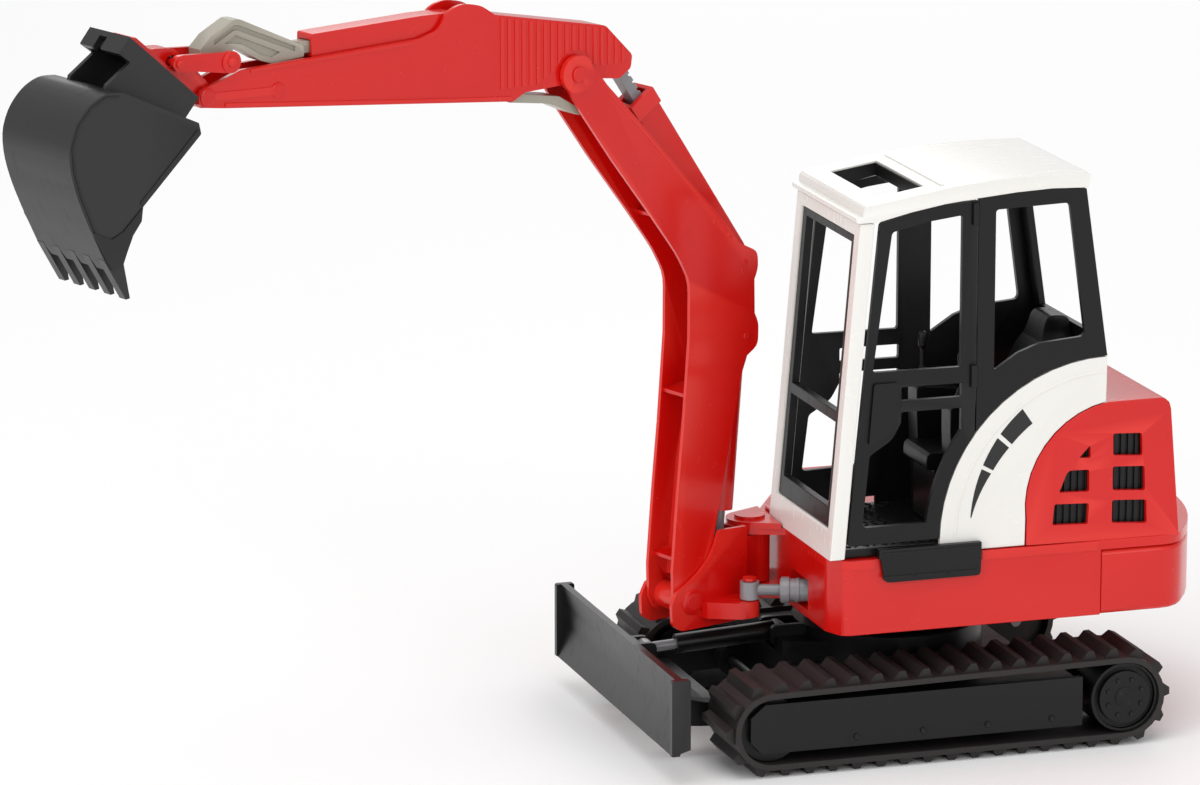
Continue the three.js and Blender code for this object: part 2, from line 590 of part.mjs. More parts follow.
// Window frame behind the door: post, rounded lower rail and rear pillar.
const POST_X = -8.2;
const EAVES_BELOW = 0.3;
const rearEaves = [[-21, 182.5], [-32.4, 183], [-44.3, 182.5]].map(([x, z]) => [x, z - EAVES_BELOW]);
const REAR_FRAME = [
  [POST_X, 181.3 - EAVES_BELOW], ...rearEaves, [-52.3, 128.2], ...bigArc(GAP, 90, 38, 8), [POST_X, 112],
];
const REAR_WINDOW = [[-14, 177.2, 1], [-38.6, 178, 1.5], [-44.6, 134.6, 2], [-29.4, 133.4],
  [-22.1, 130.8], [-14, 125.6, 1]];
const HINGE = { x: POST_X + 1.2, y: CAB_LEFT + 0.5 };   // outside the skin, so the door swings clear
const HINGE_HEIGHTS = [173, 121];

function rearSideFrame([yLow, yHigh]) {
  return cut(slab(REAR_FRAME, yLow, yHigh), slab(REAR_WINDOW, yLow - 2, yHigh + 2));
}

addMesh(house, 'window_frame_left', rearSideFrame(LEFT_SKIN), BLACK());

// Outline of the door, and of the fixed frame that mirrors it on the right.
const DOOR_EDGE = [
  [POST_X + 0.4, 180.9 - EAVES_BELOW], [POST_X + 0.4, 106.4], ...bigArc(GAP, 37, 1, 8), [34.5, 72, 1.5],
  [24.6, 175.2, 1],
  [14.8, 177.9], [3.3, 179.9],
];
const DOOR_WINDOW = [[20.6, 172.2, 1], [8, 174.9], [-2.8, 176.2, 1], [-2.8, 127.6, 1], [26.6, 127.8, 1]];
const DOOR_GAP_MIDDLE = [[17, 122.4, 0.6], [-3.2, 122.4, 0.6], [-3.2, 118, 0.6], [17, 118, 0.6]];
const lowGap = (sill, arcEnd) => [
  [17, 114.4, 0.6], [-3.2, 114.4, 0.6], ...arc(ARC_BIG.x, ARC_BIG.z, ARC_BIG.r + 5, 36, arcEnd, 6),
  [29.6, sill, 1.5], [27.4, 101, 1], [20, 105.6, 2], [17, 111],
];
const DOOR_GAP_LOW = lowGap(77.8, 6);
const RIGHT_GAP_LOW = lowGap(82.6, 11.3);     // the right side's sill is higher than the door's

function doorSkin(yLow, yHigh, lowest = DOOR_GAP_LOW) {
  const cuts = [DOOR_WINDOW, DOOR_GAP_MIDDLE, lowest].map((corners) => slab(corners, yLow - 2, yHigh + 2));
  return cut(slab(DOOR_EDGE, yLow, yHigh), ...cuts);
}

const rightFrame = join(
  doorSkin(...RIGHT_SKIN, RIGHT_GAP_LOW),
  rearSideFrame(RIGHT_SKIN),
  sidePanel(CAB_RIGHT + CAB_WALL - LINING, CAB_RIGHT + CAB_WALL, 1),
  block(POST_X - 1, POST_X + 2, ...RIGHT_SKIN, 113, 180.4),
);
addMesh(house, 'window_frame_right', rightFrame, BLACK());

function rearWindowFrame() {
  const whole = slab([
    [-50, HOOD_TOP + GAP], [-52.3, HOOD_TOP + GAP], [-52.3, 128.2], [-44.3, 182], [-42, 182], [-50, 128.4],
  ], CAB_RIGHT + CAB_WALL + GAP, CAB_LEFT - CAB_WALL - GAP);
  return cut(whole, block(-60, -35, CAB_RIGHT + 8, CAB_LEFT - 8, 134, 176));
}
addMesh(house, 'rear_window_frame', rearWindowFrame(), BLACK());

// ---- inside the cab
const SEAT_Y = [16.4, 37.6];
const seatSide = slab([
  [1, 89.5, 1.5], [1, 95.5, 3], [-21, 93.5, 2], [-38.5, 128], [-41, 136.5, 2.5], [-48.6, 136, 2.5],
  [-49.4, 128],
  [-35.4, 107.4], [-24.2, 95], [-23.6, 89.5],
], ...SEAT_Y);
const seatFront = bar([
  [SEAT_Y[0], 89], [SEAT_Y[1], 89], [SEAT_Y[1], 125, 3], [SEAT_Y[1] - 3.6, 130, 2], [SEAT_Y[1] - 4.2, 138, 3],
  [SEAT_Y[0] + 4.2, 138, 3], [SEAT_Y[0] + 3.6, 130, 2], [SEAT_Y[0], 125, 3],
], -60, 20);
addMesh(house, 'seat', seatSide.intersect(seatFront), BLACK());
addMesh(house, 'seat_box', block(-22.5, -2, SEAT_Y[0] + 1, SEAT_Y[1] - 1, FLOOR_TOP + GAP, 89.2), BLACK());

const CONSOLES = [['left', 38.2, 46.4, -9], ['right', 7.6, 15.8, -7]];
for (const [word, yLow, yHigh, leverX] of CONSOLES) {
  const body = slab([
    [-22, FLOOR_TOP + GAP], [-5, FLOOR_TOP + GAP], [-3.6, 104, 2], [-3.6, 112, 1.5], [-20, 110, 2], [-22, 92],
  ], yLow, yHigh);
  addMesh(house, `console_${word}`, body, BLACK());
  const lever = groupAt(house, leverX, (yLow + yHigh) / 2, 112.4);
  const stem = solid(new THREE.LatheGeometry([
    [0, 0], [3, 0], [3, 1], [2.2, 1.6], [2.4, 2.6], [1.7, 3.2], [1.8, 4.2], [0.9, 5], [0.8, 11], [1.5, 12],
    [1.7, 15], [1, 16.6], [0, 16.8],
  ].map(([r, z]) => new THREE.Vector2(r, z)), 14).rotateX(Math.PI / 2));
  addMesh(lever, `control_lever_${word}`, stem, BLACK());
}

// ---- door, in a group at its hinge line
const doorGroup = groupAt(house, HINGE.x, HINGE.y, 0);
const fromDoorHinge = new THREE.Matrix4().makeTranslation(-HINGE.x, -HINGE.y, 0);

function door() {
  const skin = doorSkin(...LEFT_SKIN);
  const grip = slab([[18.2, 124.2, 1], [18.2, 113, 1], [21, 107.6], [28, 104.6, 1], [26.4, 124.2, 1]],
    CAB_LEFT - 0.2, CAB_LEFT + 1);
  const knuckles = HINGE_HEIGHTS.map((z) => roundZ(HINGE.x, HINGE.y, 1.1, z, z + 7, 14));
  return join(skin, grip, ...knuckles);
}
const doorMesh = addMesh(doorGroup, 'door', door(), BLACK());
doorMesh.geometry.applyMatrix4(fromDoorHinge);

// ---- swing pin, cylinder and bracket
addMesh(house, 'swing_pin', roundZ(SWING_PIN.x, SWING_PIN.y, 3, 43.4, 68.9, 24), RED());

const arm = groupAt(house, SWING_PIN.x, SWING_PIN.y, 0);
arm.rotation.z = SWING_REST;

// A ring and a stem that lie flat, pinned from above. Drawn along +X.
function flatRod({ length, radius, eye, eyeHalf, hole }) {
  const stem = roundX(0, 0, radius, eye * 0.5, length);
  return cut(join(stem, roundZ(0, 0, eye, -eyeHalf, eyeHalf, 20)), roundZ(0, 0, hole, -20, 20, 16));
}

const eyePlace = new THREE.Vector2(SWING_EYE.x, SWING_EYE.y)
  .rotateAround(new THREE.Vector2(), SWING_REST)
  .add(new THREE.Vector2(SWING_PIN.x, SWING_PIN.y));
const swingHeading = Math.atan2(SWING_BASE.y - eyePlace.y, SWING_BASE.x - eyePlace.x);
const swingSpan = Math.hypot(SWING_BASE.y - eyePlace.y, SWING_BASE.x - eyePlace.x);
const swingRod = groupAt(house, eyePlace.x, eyePlace.y, SWING_EYE.z);
swingRod.rotation.z = swingHeading;
addMesh(swingRod, 'swing_cylinder_rod',
  flatRod({ length: 29, radius: 1.85, eye: 3.1, eyeHalf: 2.9, hole: 1.9 }), GREY());

function swingBarrelSolid() {
  const length = swingSpan - 9.7;
  const tube = cut(roundX(0, 0, 3.7, 1.5, length, 20), roundX(0, 0, 3.05, 4.2, length + 1, 20));
  return cut(join(tube, roundZ(0, 0, 3.4, -3.2, 3.2, 20)), roundZ(0, 0, 1.8, -20, 20, 16));
}
const swingBarrel = groupAt(house, SWING_BASE.x, SWING_BASE.y, SWING_EYE.z);
swingBarrel.rotation.z = swingHeading + Math.PI;
addMesh(swingBarrel, 'swing_cylinder_barrel', swingBarrelSolid(), GREY());

const bracketGroup = groupAt(arm, 0, 0, 0);

function swingBracket() {
  const cheek = [
    [7.7, 68.9, 0.8], [19.3, 69.2, 1], [21, 64.6], [23.4, 60.4], [27.6, 56.4], [32, 53.5], [36.4, 51.4],
    [38.6, 47.5, 1.5], [38.2, 40.6, 1.5], [34.6, 38.3, 1], [14, 38.2], [3, 39.6], [3.6, 43.2], [8.6, 43.6],
  ];
  const inner = BOOM_HALF + GAP;
  const hub = roundZ(0, 0, 6.6, 48.6, 64.6, 28);
  const neck = block(0, 9, -6.2, 6.2, 48.6, 64.6);
  const wall = block(7.9, 9.2, -BRACKET_HALF, BRACKET_HALF, 39.4, 67.6);
  const rodPin = roundY(BOOM_ROD_PIN.x, BOOM_ROD_PIN.z, 1.5, -inner - 0.5, inner + 0.5, 16);
  const lever = layer([
    [26.9, BRACKET_HALF - 0.5], [26.4, 11.6], [18.6, 19.4, 2], [11, 20, 3], [8.6, 13],
    [8, BRACKET_HALF - 0.5],
  ], 41.8, 47.1);
  const eyePin = join(
    roundZ(SWING_EYE.x, SWING_EYE.y, 1.6, 46, 54, 16),
    roundZ(SWING_EYE.x, SWING_EYE.y, 2.3, SWING_EYE.z + 2.9 + GAP, 54.4, 16),
  );
  const bore = roundZ(0, 0, 3.3, 40, 70, 24);
  const footHole = roundY(FOOT.x, FOOT.z, 2.15, -20, 20, 20);
  return join(cut(join(pair(cheek, inner, BRACKET_HALF), hub, neck, wall), bore, footHole), rodPin, lever,
    eyePin);
}

addMesh(bracketGroup, 'swing_bracket', swingBracket(), RED());
const footPin = join(
  roundY(FOOT.x, FOOT.z, 2, -BRACKET_HALF - 0.2, BRACKET_HALF + 0.2, 20),
  roundY(FOOT.x, FOOT.z, 2.6, BRACKET_HALF + 0.1, BRACKET_HALF + 0.9, 16),
  roundY(FOOT.x, FOOT.z, 2.6, -BRACKET_HALF - 0.9, -BRACKET_HALF - 0.1, 16),
);
addMesh(bracketGroup, 'boom_foot_pin', footPin, RED());

// ---- boom: two side plates, a web between them, cross ribs in the front channel
const boomGroup = groupAt(arm, FOOT.x, 0, FOOT.z);
const from = (pivot) => new THREE.Matrix4().makeTranslation(-pivot.x, 0, -pivot.z);

function boom() {
  const plate = [
    [74, 211.6], [61.1, 194.1], [45.6, 174.5], [35.5, 161.2, 3], [30.3, 152, 4], [30.4, 133], [32.7, 104],
    [34.8, 83.1], [36.9, 58], [36.6, 47.2], [34.2, 42, 3], [26.4, 41.6, 3], [23.4, 47.2],
    [20.2, 67.2], [15.4, 90.1], [9.4, 118.3], [7, 124.5], [2.6, 127.4, 2], [2.4, 134.5, 2], [4, 138],
    [4.2, 149], [2.7, 152.6, 2], [3, 158, 2], [10.3, 161.6], [16.1, 169.1], [30.6, 184.1], [48.5, 203.3],
    [64, 219.2],
  ];
  const inner = BOOM_HALF - BOOM_WALL;
  const plates = pair(plate, inner, BOOM_HALF);
  const ears = join(
    roundY(STICK_PIN.x, STICK_PIN.z, 6, inner, BOOM_HALF + 0.5, 24),
    roundY(STICK_PIN.x, STICK_PIN.z, 6, -BOOM_HALF - 0.5, -inner, 24),
    pair([[73.6, 211], [79.4, 219.8], [70.4, 227.2], [62.6, 217.6]], inner, BOOM_HALF),
  );
  const reach = inner + 0.2;
  const web = slab([
    [29.6, 54], [26, 90], [20.6, 120], [19, 149.5], [25.4, 162.4], [54.6, 206.4],
    [53, 207.6], [24, 163.6], [17.4, 150], [19, 119.6], [24.4, 89.6], [28, 54],
  ], -reach, reach);
  const rib = (x, z, length, tilt) => {
    const geometry = new THREE.BoxGeometry(length, 2 * reach, 1.2);
    geometry.rotateY(-THREE.MathUtils.degToRad(tilt));
    geometry.translate(x, 0, z);
    return solid(geometry);
  };
  const ribs = join(rib(36, 174.6, 12, -8), rib(26.6, 115, 9, -8), rib(31.6, 62, 7, -10));
  const bush = roundY(FOOT.x, FOOT.z, 4.6, -reach, reach, 24);
  const pins = join(
    roundY(BOOM_BARREL_PIN.x, BOOM_BARREL_PIN.z, 1.5, -reach, reach, 16),
    roundY(STICK_BARREL_PIN.x, STICK_BARREL_PIN.z, 1.5, -reach, reach, 16),
  );
  const holes = [
    roundY(FOOT.x, FOOT.z, 2.3, -20, 20, 20),
    roundY(STICK_PIN.x, STICK_PIN.z, 2.15, -20, 20, 20),
  ];
  return join(cut(join(plates, ears, web, ribs, bush), ...holes), pins);
}

addMesh(boomGroup, 'boom', boom(), RED()).geometry.applyMatrix4(from(FOOT));
const stickPin = join(
  roundY(STICK_PIN.x, STICK_PIN.z, 2, -BOOM_HALF - 0.6, BOOM_HALF + 0.6, 20),
  roundY(STICK_PIN.x, STICK_PIN.z, 2.5, BOOM_HALF + 0.6, BOOM_HALF + 1.1, 16),
  roundY(STICK_PIN.x, STICK_PIN.z, 2.5, -BOOM_HALF - 1.1, -BOOM_HALF - 0.6, 16),
);
addMesh(boomGroup, 'stick_pivot_pin', stickPin, RED()).geometry.applyMatrix4(from(FOOT));

const boomBarrel = groupAlong(arm, BOOM_BARREL_PIN, BOOM_ROD_PIN);
const boomRod = groupAlong(arm, BOOM_ROD_PIN, BOOM_BARREL_PIN);
addMesh(boomBarrel, 'boom_cylinder_barrel',
  barrel({ length: 57.5, radius: 4.2, bore: 3.5, eye: 4.4, eyeHalf: 4.6, hole: 1.8 }), RED());
addMesh(boomRod, 'boom_cylinder_rod',
  rod({ length: 40, radius: 1.9, eye: 3, eyeHalf: 4.6, hole: 1.8 }), GREY());

// ---- stick cylinder: a square barrel with a window, and a square rod with rack teeth
const stickSpan = distance(STICK_BARREL_PIN, STICK_ROD_PIN);
const stickBarrel = groupAlong(arm, STICK_BARREL_PIN, STICK_ROD_PIN);
const stickRod = groupAlong(arm, STICK_ROD_PIN, STICK_BARREL_PIN);

function stickBarrelSolid() {
  const length = 70;
  const tube = cut(block(3, length, -4.2, 4.2, -4.6, 4.6), block(8, length + 1, -2.7, 2.7, -3.7, 3.7));
  const window = block(42, 58, -2.7, 2.7, 0, 10);
  const collar = cut(block(length - 6, length, -4.9, 4.9, -5.2, 5.2), block(length - 8, length + 1, -2.7,
    2.7, -3.7, 3.7));
  const eye = roundY(0, 0, 4.6, -5.2, 5.2, 20);
  return cut(join(cut(join(tube, collar), window), eye), roundY(0, 0, 1.8, -20, 20, 16));
}

function stickRodSolid() {
  const length = 40;
  const teeth = [];
  for (let x = 6; x < length - 4; x += 3) {
    teeth.push(block(x, x + 1.4, -3, 3, -2.6, -1.2));
  }
  const stem = block(1.5, length, -2.2, 2.2, -1.9, 1.9);
  return cut(join(cut(stem, ...teeth), roundY(0, 0, 3, -3, 3, 20)), roundY(0, 0, 1.75, -20, 20, 16));
}

addMesh(stickBarrel, 'stick_cylinder_barrel', stickBarrelSolid(), RED());
addMesh(stickRod, 'stick_cylinder_rod', stickRodSolid(), GREY());

// ---- stick
const stickGroup = groupAt(arm, STICK_PIN.x, 0, STICK_PIN.z);
const NOSE_IN = 3.8;            // inner face of the stick's front fork
const SLEEVE_FROM = 118;
const SLEEVE_TO = 172.6;

function stick() {
  const profile = [
    [65.5, 220.6], [57.4, 219.6, 1], [52.9, 222.4, 1], [52.3, 226.6, 1], [62.8, 236.9, 1], [105.4, 244.8],
    [110.6, 248.2, 2], [118, 249.6, 3], [123.6, 247.6, 2], [127, 242.4, 2], [134.2, 240.5], [199.6, 238.2],
    [209, 235], [214.2, 233.6, 2], [214.6, 228.6, 2], [205.3, 227.4], [134.3, 220.4], [98.6, 217.1],
    [94, 219.4],
  ];
  const body = slab(profile, -STICK_HALF, STICK_HALF);
  const pinHole = roundY(STICK_PIN.x, STICK_PIN.z, 2.3, -20, 20, 20);
  const rearSlot = slab([[48, 214], [66, 214], [66, 230, 2], [60, 232.6, 2], [48, 232]], -3.5, 3.5);
  const sleeveRoom = block(SLEEVE_FROM - 12, SLEEVE_TO + 3, -4.2, 4.2, 238.7, 260);
  const leverRoom = block(SLEEVE_TO, 220, -3.7, 3.7, 236.6, 260);
  const noseSlot = block(198.5, 220, -NOSE_IN, NOSE_IN, 220, 260);
  const pins = join(
    roundY(STICK_ROD_PIN.x, STICK_ROD_PIN.z, 1.5, -STICK_HALF, STICK_HALF, 16),
    roundY(BUCKET_PIN.x, BUCKET_PIN.z, 1.6, -STICK_HALF, STICK_HALF, 16),
  );
  return join(cut(body, pinHole, rearSlot, sleeveRoom, leverRoom, noseSlot), pins);
}

addMesh(stickGroup, 'stick', stick(), RED()).geometry.applyMatrix4(from(STICK_PIN));

const shoe = slab([
  [94, 218.9, 0.6], [99, 216.6], [84, 214.6, 2], [72, 209.4, 1], [71, 211, 0.6], [80, 216.4], [92, 218.4],
], -4.4, 4.4);
addMesh(stickGroup, 'stick_shoe', shoe, WARM_GREY()).geometry.applyMatrix4(from(STICK_PIN));

function bucketSleeve() {
  const body = slab([
    [SLEEVE_FROM, 239, 1], [SLEEVE_TO, 239], [SLEEVE_TO, 245.9, 0.8], [132.4, 247.1], [SLEEVE_FROM, 247, 2],
  ], -3.9, 3.9);
  const bore = block(142, SLEEVE_TO + 1, -2.7, 2.7, 239.8, 243.9);
  return cut(body, bore);
}
addMesh(stickGroup, 'bucket_cylinder_sleeve', bucketSleeve(), RED()).geometry.applyMatrix4(from(STICK_PIN));

// ---- grey bucket rod: a bent piece with a flat tail that slides in the sleeve
const leverGroup = groupAt(arm, LEVER_PIN.x, 0, LEVER_PIN.z);

function bucketRod() {
  const bend = slab([
    [212.2, 245.4], [208.3, 249.1], [200.3, 253.2, 0.8], [197.8, 253, 0.8], [174.9, 242.6, 0.6],
    [174.8, 239.2, 0.6],
    [186.5, 238.4], [190.9, 239.8], [197, 243.3], [200.4, 244.4], [201.2, 240], [204.2, 238.3],
    [208, 239.6], [212, 243.4],
  ], -3.1, 3.1);
  const tail = block(152, 176, -2.4, 2.4, 240.1, 243.6);
  const outerChevron = [
    [207.2, 247.6], [200, 251.4], [198.5, 251.3], [178, 242.6], [178, 241.2], [198.8, 249.8],
    [200, 249.8], [207, 246.2],
  ];
  const innerChevron = [
    [203.4, 246.2], [199.6, 248.4], [183.5, 241.5], [186.5, 240.2], [190.5, 241.5], [197, 245.4],
    [200.6, 246],
  ];
  const grooves = [outerChevron, innerChevron].map((corners) => pair(corners, 2.3, 4));
  return cut(join(cut(bend, ...grooves), tail), roundY(LEVER_PIN.x, LEVER_PIN.z, 1.8, -20, 20, 16));
}
addMesh(leverGroup, 'bucket_rod', bucketRod(), WARM_GREY()).geometry.applyMatrix4(from(LEVER_PIN));

// ---- link: two tapered plates and their two pins
function link() {
  const inner = STICK_HALF + 0.5;
  const plates = pair([
    [200.9, 241.4, 1.2], [201.8, 238.7, 1.2], [205, 238.2, 1], [218, 240.2], [223.4, 240.4, 1],
    [225, 242.6, 1],
    [223.8, 245.2, 1], [220.8, 245.4], [206.6, 244.6], [202, 244.2, 1],
  ], inner, LINK_HALF);
  const boss = join(
    roundY(LEVER_PIN.x, LEVER_PIN.z, 3.3, inner, LINK_HALF + 0.4, 20),
    roundY(LEVER_PIN.x, LEVER_PIN.z, 3.3, -LINK_HALF - 0.4, -inner, 20),
  );
  const pins = join(
    roundY(LEVER_PIN.x, LEVER_PIN.z, 1.5, -LINK_HALF - 0.8, LINK_HALF + 0.8, 16),
    roundY(LINK_PIN.x, LINK_PIN.z, 1.2, -LINK_HALF - 0.6, LINK_HALF + 0.6, 16),
  );
  return join(plates, boss, pins);
}
const linkGroup = groupAt(arm, LEVER_PIN.x, 0, LEVER_PIN.z);
addMesh(linkGroup, 'bucket_link', link(), RED()).geometry.applyMatrix4(from(LEVER_PIN));

// ---- bucket carrier and bucket
const bucketGroup = groupAt(arm, BUCKET_PIN.x, 0, BUCKET_PIN.z);

function bucketCarrier() {
  const tongue = slab([
    [209, 234.4, 1.5], [207.6, 231, 1.5], [209.4, 227.9, 1.5], [213.2, 227.9, 1.5], [217.2, 233],
    [231.5, 245.4],
    [229.6, 247.6, 1], [222.4, 247.2, 2], [218.6, 244.6, 2],
  ], -3.4, 3.4);
  const head = slab([[218.6, 234.2], [238, 250.9], [236.7, 252.4, 0.8], [217.3, 235.7]],
    -STICK_HALF, STICK_HALF);
  const holes = [
    roundY(BUCKET_PIN.x, BUCKET_PIN.z, 1.9, -20, 20, 16),
    roundY(LINK_PIN.x, LINK_PIN.z, 2.15, -20, 20, 16),
  ];
  return cut(join(tongue, head), ...holes);
}
addMesh(bucketGroup, 'bucket_carrier', bucketCarrier(), RED()).geometry.applyMatrix4(from(BUCKET_PIN));

const BUCKET_BACK = [
  [249.5, 239.1], [255.1, 239.5, 3], [260.8, 236.9, 4], [265.8, 231.6, 4], [268.4, 224.8, 4],
  [267.9, 217.2, 4],
  [265.6, 209.4, 4], [261.8, 200.4, 4], [256.6, 189.6],
];

function bucket() {
  const lip = [[254.6, 186.6], [250.6, 187.2]];
  const mouth = [[248.8, 191.6], [246.6, 196.4], [243.6, 200.2], [243, 204.4], [222.2, 223.6, 0.6],
    [223, 227]];
  const outer = slab([...BUCKET_BACK, ...lip, ...mouth], -BUCKET_HALF, BUCKET_HALF);
  const inset = BUCKET_HALF - BUCKET_WALL;
  const hollow = slab([
    [249.2, 237.2], [254.8, 237.5], [259.8, 235.2], [264.2, 230.5], [266.5, 224.6], [266.2, 217.8],
    [264, 210.2],
    [260.2, 201.2], [255.2, 191.2], [252.6, 186], [244, 180], [210, 218], [222, 224.4],
  ], -inset, inset);
  const ear = [
    [241.8, 253.6, 0.8], [217.8, 232.9, 1], [221.9, 228.2], [223.4, 226.4], [250.4, 238.4], [249.9, 240.2],
    [241.6, 246], [245.6, 249, 0.6],
  ];
  const ears = pair(ear, EAR_HALF - BUCKET_WALL, EAR_HALF);
  const rearWeb = slab([[217.8, 232.9], [241.8, 253.6], [242.8, 252.4], [218.8, 231.7]], -EAR_HALF, EAR_HALF);
  const endWall = cut(
    slab([[241.8, 253.6, 0.8], [240.3, 252.2], [243.9, 247.8], [245.6, 249, 0.6]], -EAR_HALF, EAR_HALF),
    slab([[247, 250], [243, 252.4], [242, 250.4], [245, 246]], -3.6, 0.4),
  );
  const spacing = (2 * BUCKET_HALF - 3.4) / (TOOTH_COUNT - 1);
  const teeth = Array.from({ length: TOOTH_COUNT }, (_, i) => {
    const y = -BUCKET_HALF + i * spacing;
    return slab([[257, 190.2], [254.8, 193.6], [250.4, 189.6], [248.2, 177.8], [249.6, 177.6]], y, y + 3.4);
  });
  return join(cut(outer, hollow), ears, rearWeb, endWall, ...teeth);
}
addMesh(bucketGroup, 'bucket', bucket(), CHARCOAL()).geometry.applyMatrix4(from(BUCKET_PIN));

// The origin is on the ground, below the middle of the whole object.
digger.updateMatrixWorld(true);
const bounds = new THREE.Box3().setFromObject(digger, true);
const middle = bounds.getCenter(new THREE.Vector3());
machine.position.set(-middle.x, -middle.y, -bounds.min.z);

export default digger;
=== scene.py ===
# %% [markdown]
# A toy mini excavator, finished as moulded plastic
#
# The working frame of the toy comes from its CAD model. This notebook gives each moulding soft
# edges, adds the small detail that moulds leave, and paints everything with plastics made of
# nodes. It starts by loading the frame and keeping the size of its box.

# %% Load the frame
import json
import math

import bpy
from mathutils import Matrix, Vector


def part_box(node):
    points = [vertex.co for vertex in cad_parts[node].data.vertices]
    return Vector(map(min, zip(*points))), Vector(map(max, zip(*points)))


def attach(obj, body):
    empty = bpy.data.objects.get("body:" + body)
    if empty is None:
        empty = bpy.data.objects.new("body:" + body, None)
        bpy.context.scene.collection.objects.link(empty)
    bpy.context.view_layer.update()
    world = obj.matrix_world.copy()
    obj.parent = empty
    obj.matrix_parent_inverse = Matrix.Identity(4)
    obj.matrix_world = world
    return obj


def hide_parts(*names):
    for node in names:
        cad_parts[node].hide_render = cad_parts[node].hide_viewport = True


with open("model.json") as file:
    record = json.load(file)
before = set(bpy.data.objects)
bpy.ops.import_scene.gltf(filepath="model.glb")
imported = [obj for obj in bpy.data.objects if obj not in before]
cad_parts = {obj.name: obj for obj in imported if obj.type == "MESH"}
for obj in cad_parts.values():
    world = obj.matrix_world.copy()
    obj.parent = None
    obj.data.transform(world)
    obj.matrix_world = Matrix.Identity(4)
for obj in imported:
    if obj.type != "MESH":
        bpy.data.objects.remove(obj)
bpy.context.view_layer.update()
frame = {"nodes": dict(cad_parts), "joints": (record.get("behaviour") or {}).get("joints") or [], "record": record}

bpy.ops.object.select_all(action="DESELECT")
print("frame loaded with", len(frame["nodes"]), "nodes")

# %% [markdown]
# Two sets of axes are enough for every added piece. The machine's axes start on the ground below
# the slewing axis. The arm's axes start below the swing pin and are turned with the arm, which is
# stored a little to the left. Both come from the joints, so a piece follows the frame if the
# frame changes. Lengths below are in millimetres.

# %% Axes of the machine and of the arm
MM = 0.001
joints = {joint["name"]: joint for joint in frame["joints"]}
bodies = frame["record"]["behaviour"]["bodies"]
body_of = {node: body for body, nodes in bodies.items() for node in nodes}
slot_of = {part["node"]: part["material_slot"] for part in frame["record"]["subparts"]}


def joint_place(name):
    return Vector(joints[name]["pos_m"])


slew = joint_place("house_slew")
swing = joint_place("boom_swing")
arm_axis = joints["boom_lift"]["axis"]
arm_turn = math.atan2(-arm_axis[0], arm_axis[1])
MACHINE = Matrix.Translation((slew.x, slew.y, 0)) @ Matrix.Scale(MM, 4)
ARM = Matrix.Translation((swing.x, swing.y, 0)) @ Matrix.Rotation(arm_turn, 4, "Z") @ Matrix.Scale(MM, 4)


def in_axes(axes, place):
    return axes.inverted() @ place


boom_foot = in_axes(ARM, joint_place("boom_lift"))
stick_pin = in_axes(ARM, joint_place("stick_lift"))
bucket_pin = in_axes(ARM, joint_place("bucket_curl"))
boom_barrel_pin = in_axes(ARM, joint_place("boom_barrel_swivel"))
stick_barrel_pin = in_axes(ARM, joint_place("stick_barrel_swivel"))
drive = in_axes(MACHINE, joint_place("drive_left_spin"))
print("arm turned by", round(math.degrees(arm_turn), 1), "degrees")

# %% [markdown]
# The camera stands low at the front left, far away with a long lens, so the machine hardly
# narrows with distance. The floor is a wide pale sheet that also fills the background. A toy
# looks right in soft light: a large lamp above, one in front and a weaker one behind.

# %% Camera
TARGET = MACHINE @ Vector((97.95, 0, 113.66))
CAMERA_TURN = math.radians(17.635)
CAMERA_RISE = math.radians(13.406)
CAMERA_DISTANCE = 1.98519
LENS = 187.2

towards_camera = Vector((
    math.sin(CAMERA_TURN) * math.cos(CAMERA_RISE),
    math.cos(CAMERA_TURN) * math.cos(CAMERA_RISE),
    math.sin(CAMERA_RISE),
))
camera = bpy.data.objects.new("camera", bpy.data.cameras.new("camera"))
bpy.context.scene.collection.objects.link(camera)
camera.location = TARGET + CAMERA_DISTANCE * towards_camera
camera.rotation_euler = (-towards_camera).to_track_quat("-Z", "Y").to_euler()
camera.data.lens = LENS
camera.data.sensor_width = 36
camera.data.clip_end = 50
bpy.context.scene.camera = camera
print("camera at", [round(v, 3) for v in camera.location])

# %% [markdown]
# Every finish below is a small web of shader nodes. One function adds a node, sets it and feeds
# it, so a material reads as a list of steps. Colours are written as sRGB hex, the way a paint
# chart gives them, and one converter turns them into the linear values that shaders use.

# %% Node helper and colour converter


def linear(hex_colour):
    """An sRGB hex colour as the linear colour that shaders use."""
    channels = [int(hex_colour[i : i + 2], 16) / 255 for i in (1, 3, 5)]
    return [c / 12.92 if c <= 0.04045 else ((c + 0.055) / 1.055) ** 2.4 for c in channels] + [1.0]


def add_node(material, kind, settings=None, links=None):
    """Adds a node. Settings are its attributes or input values, and links feed its inputs."""
    tree = material.node_tree
    node = tree.nodes.new("ShaderNode" + kind)
    for name, value in (settings or {}).items():
        if isinstance(name, str) and hasattr(node, name):
            setattr(node, name, value)
        else:
            node.inputs[name].default_value = value
    for name, (source, output) in (links or {}).items():
        tree.links.new(source.outputs[output], node.inputs[name])
    return node


def new_material(name):
    material = bpy.data.materials.new(name)
    material.use_nodes = True
    material.node_tree.nodes.clear()
    return material


print("helpers ready")

# %% [markdown]
# The stage is a wide sheet of white paper and four soft lamps. The largest lamp hangs above, so
# the tops of the mouldings are bright and their undersides fall off gently. The pale room fills
# the shadows, as a product light tent would.

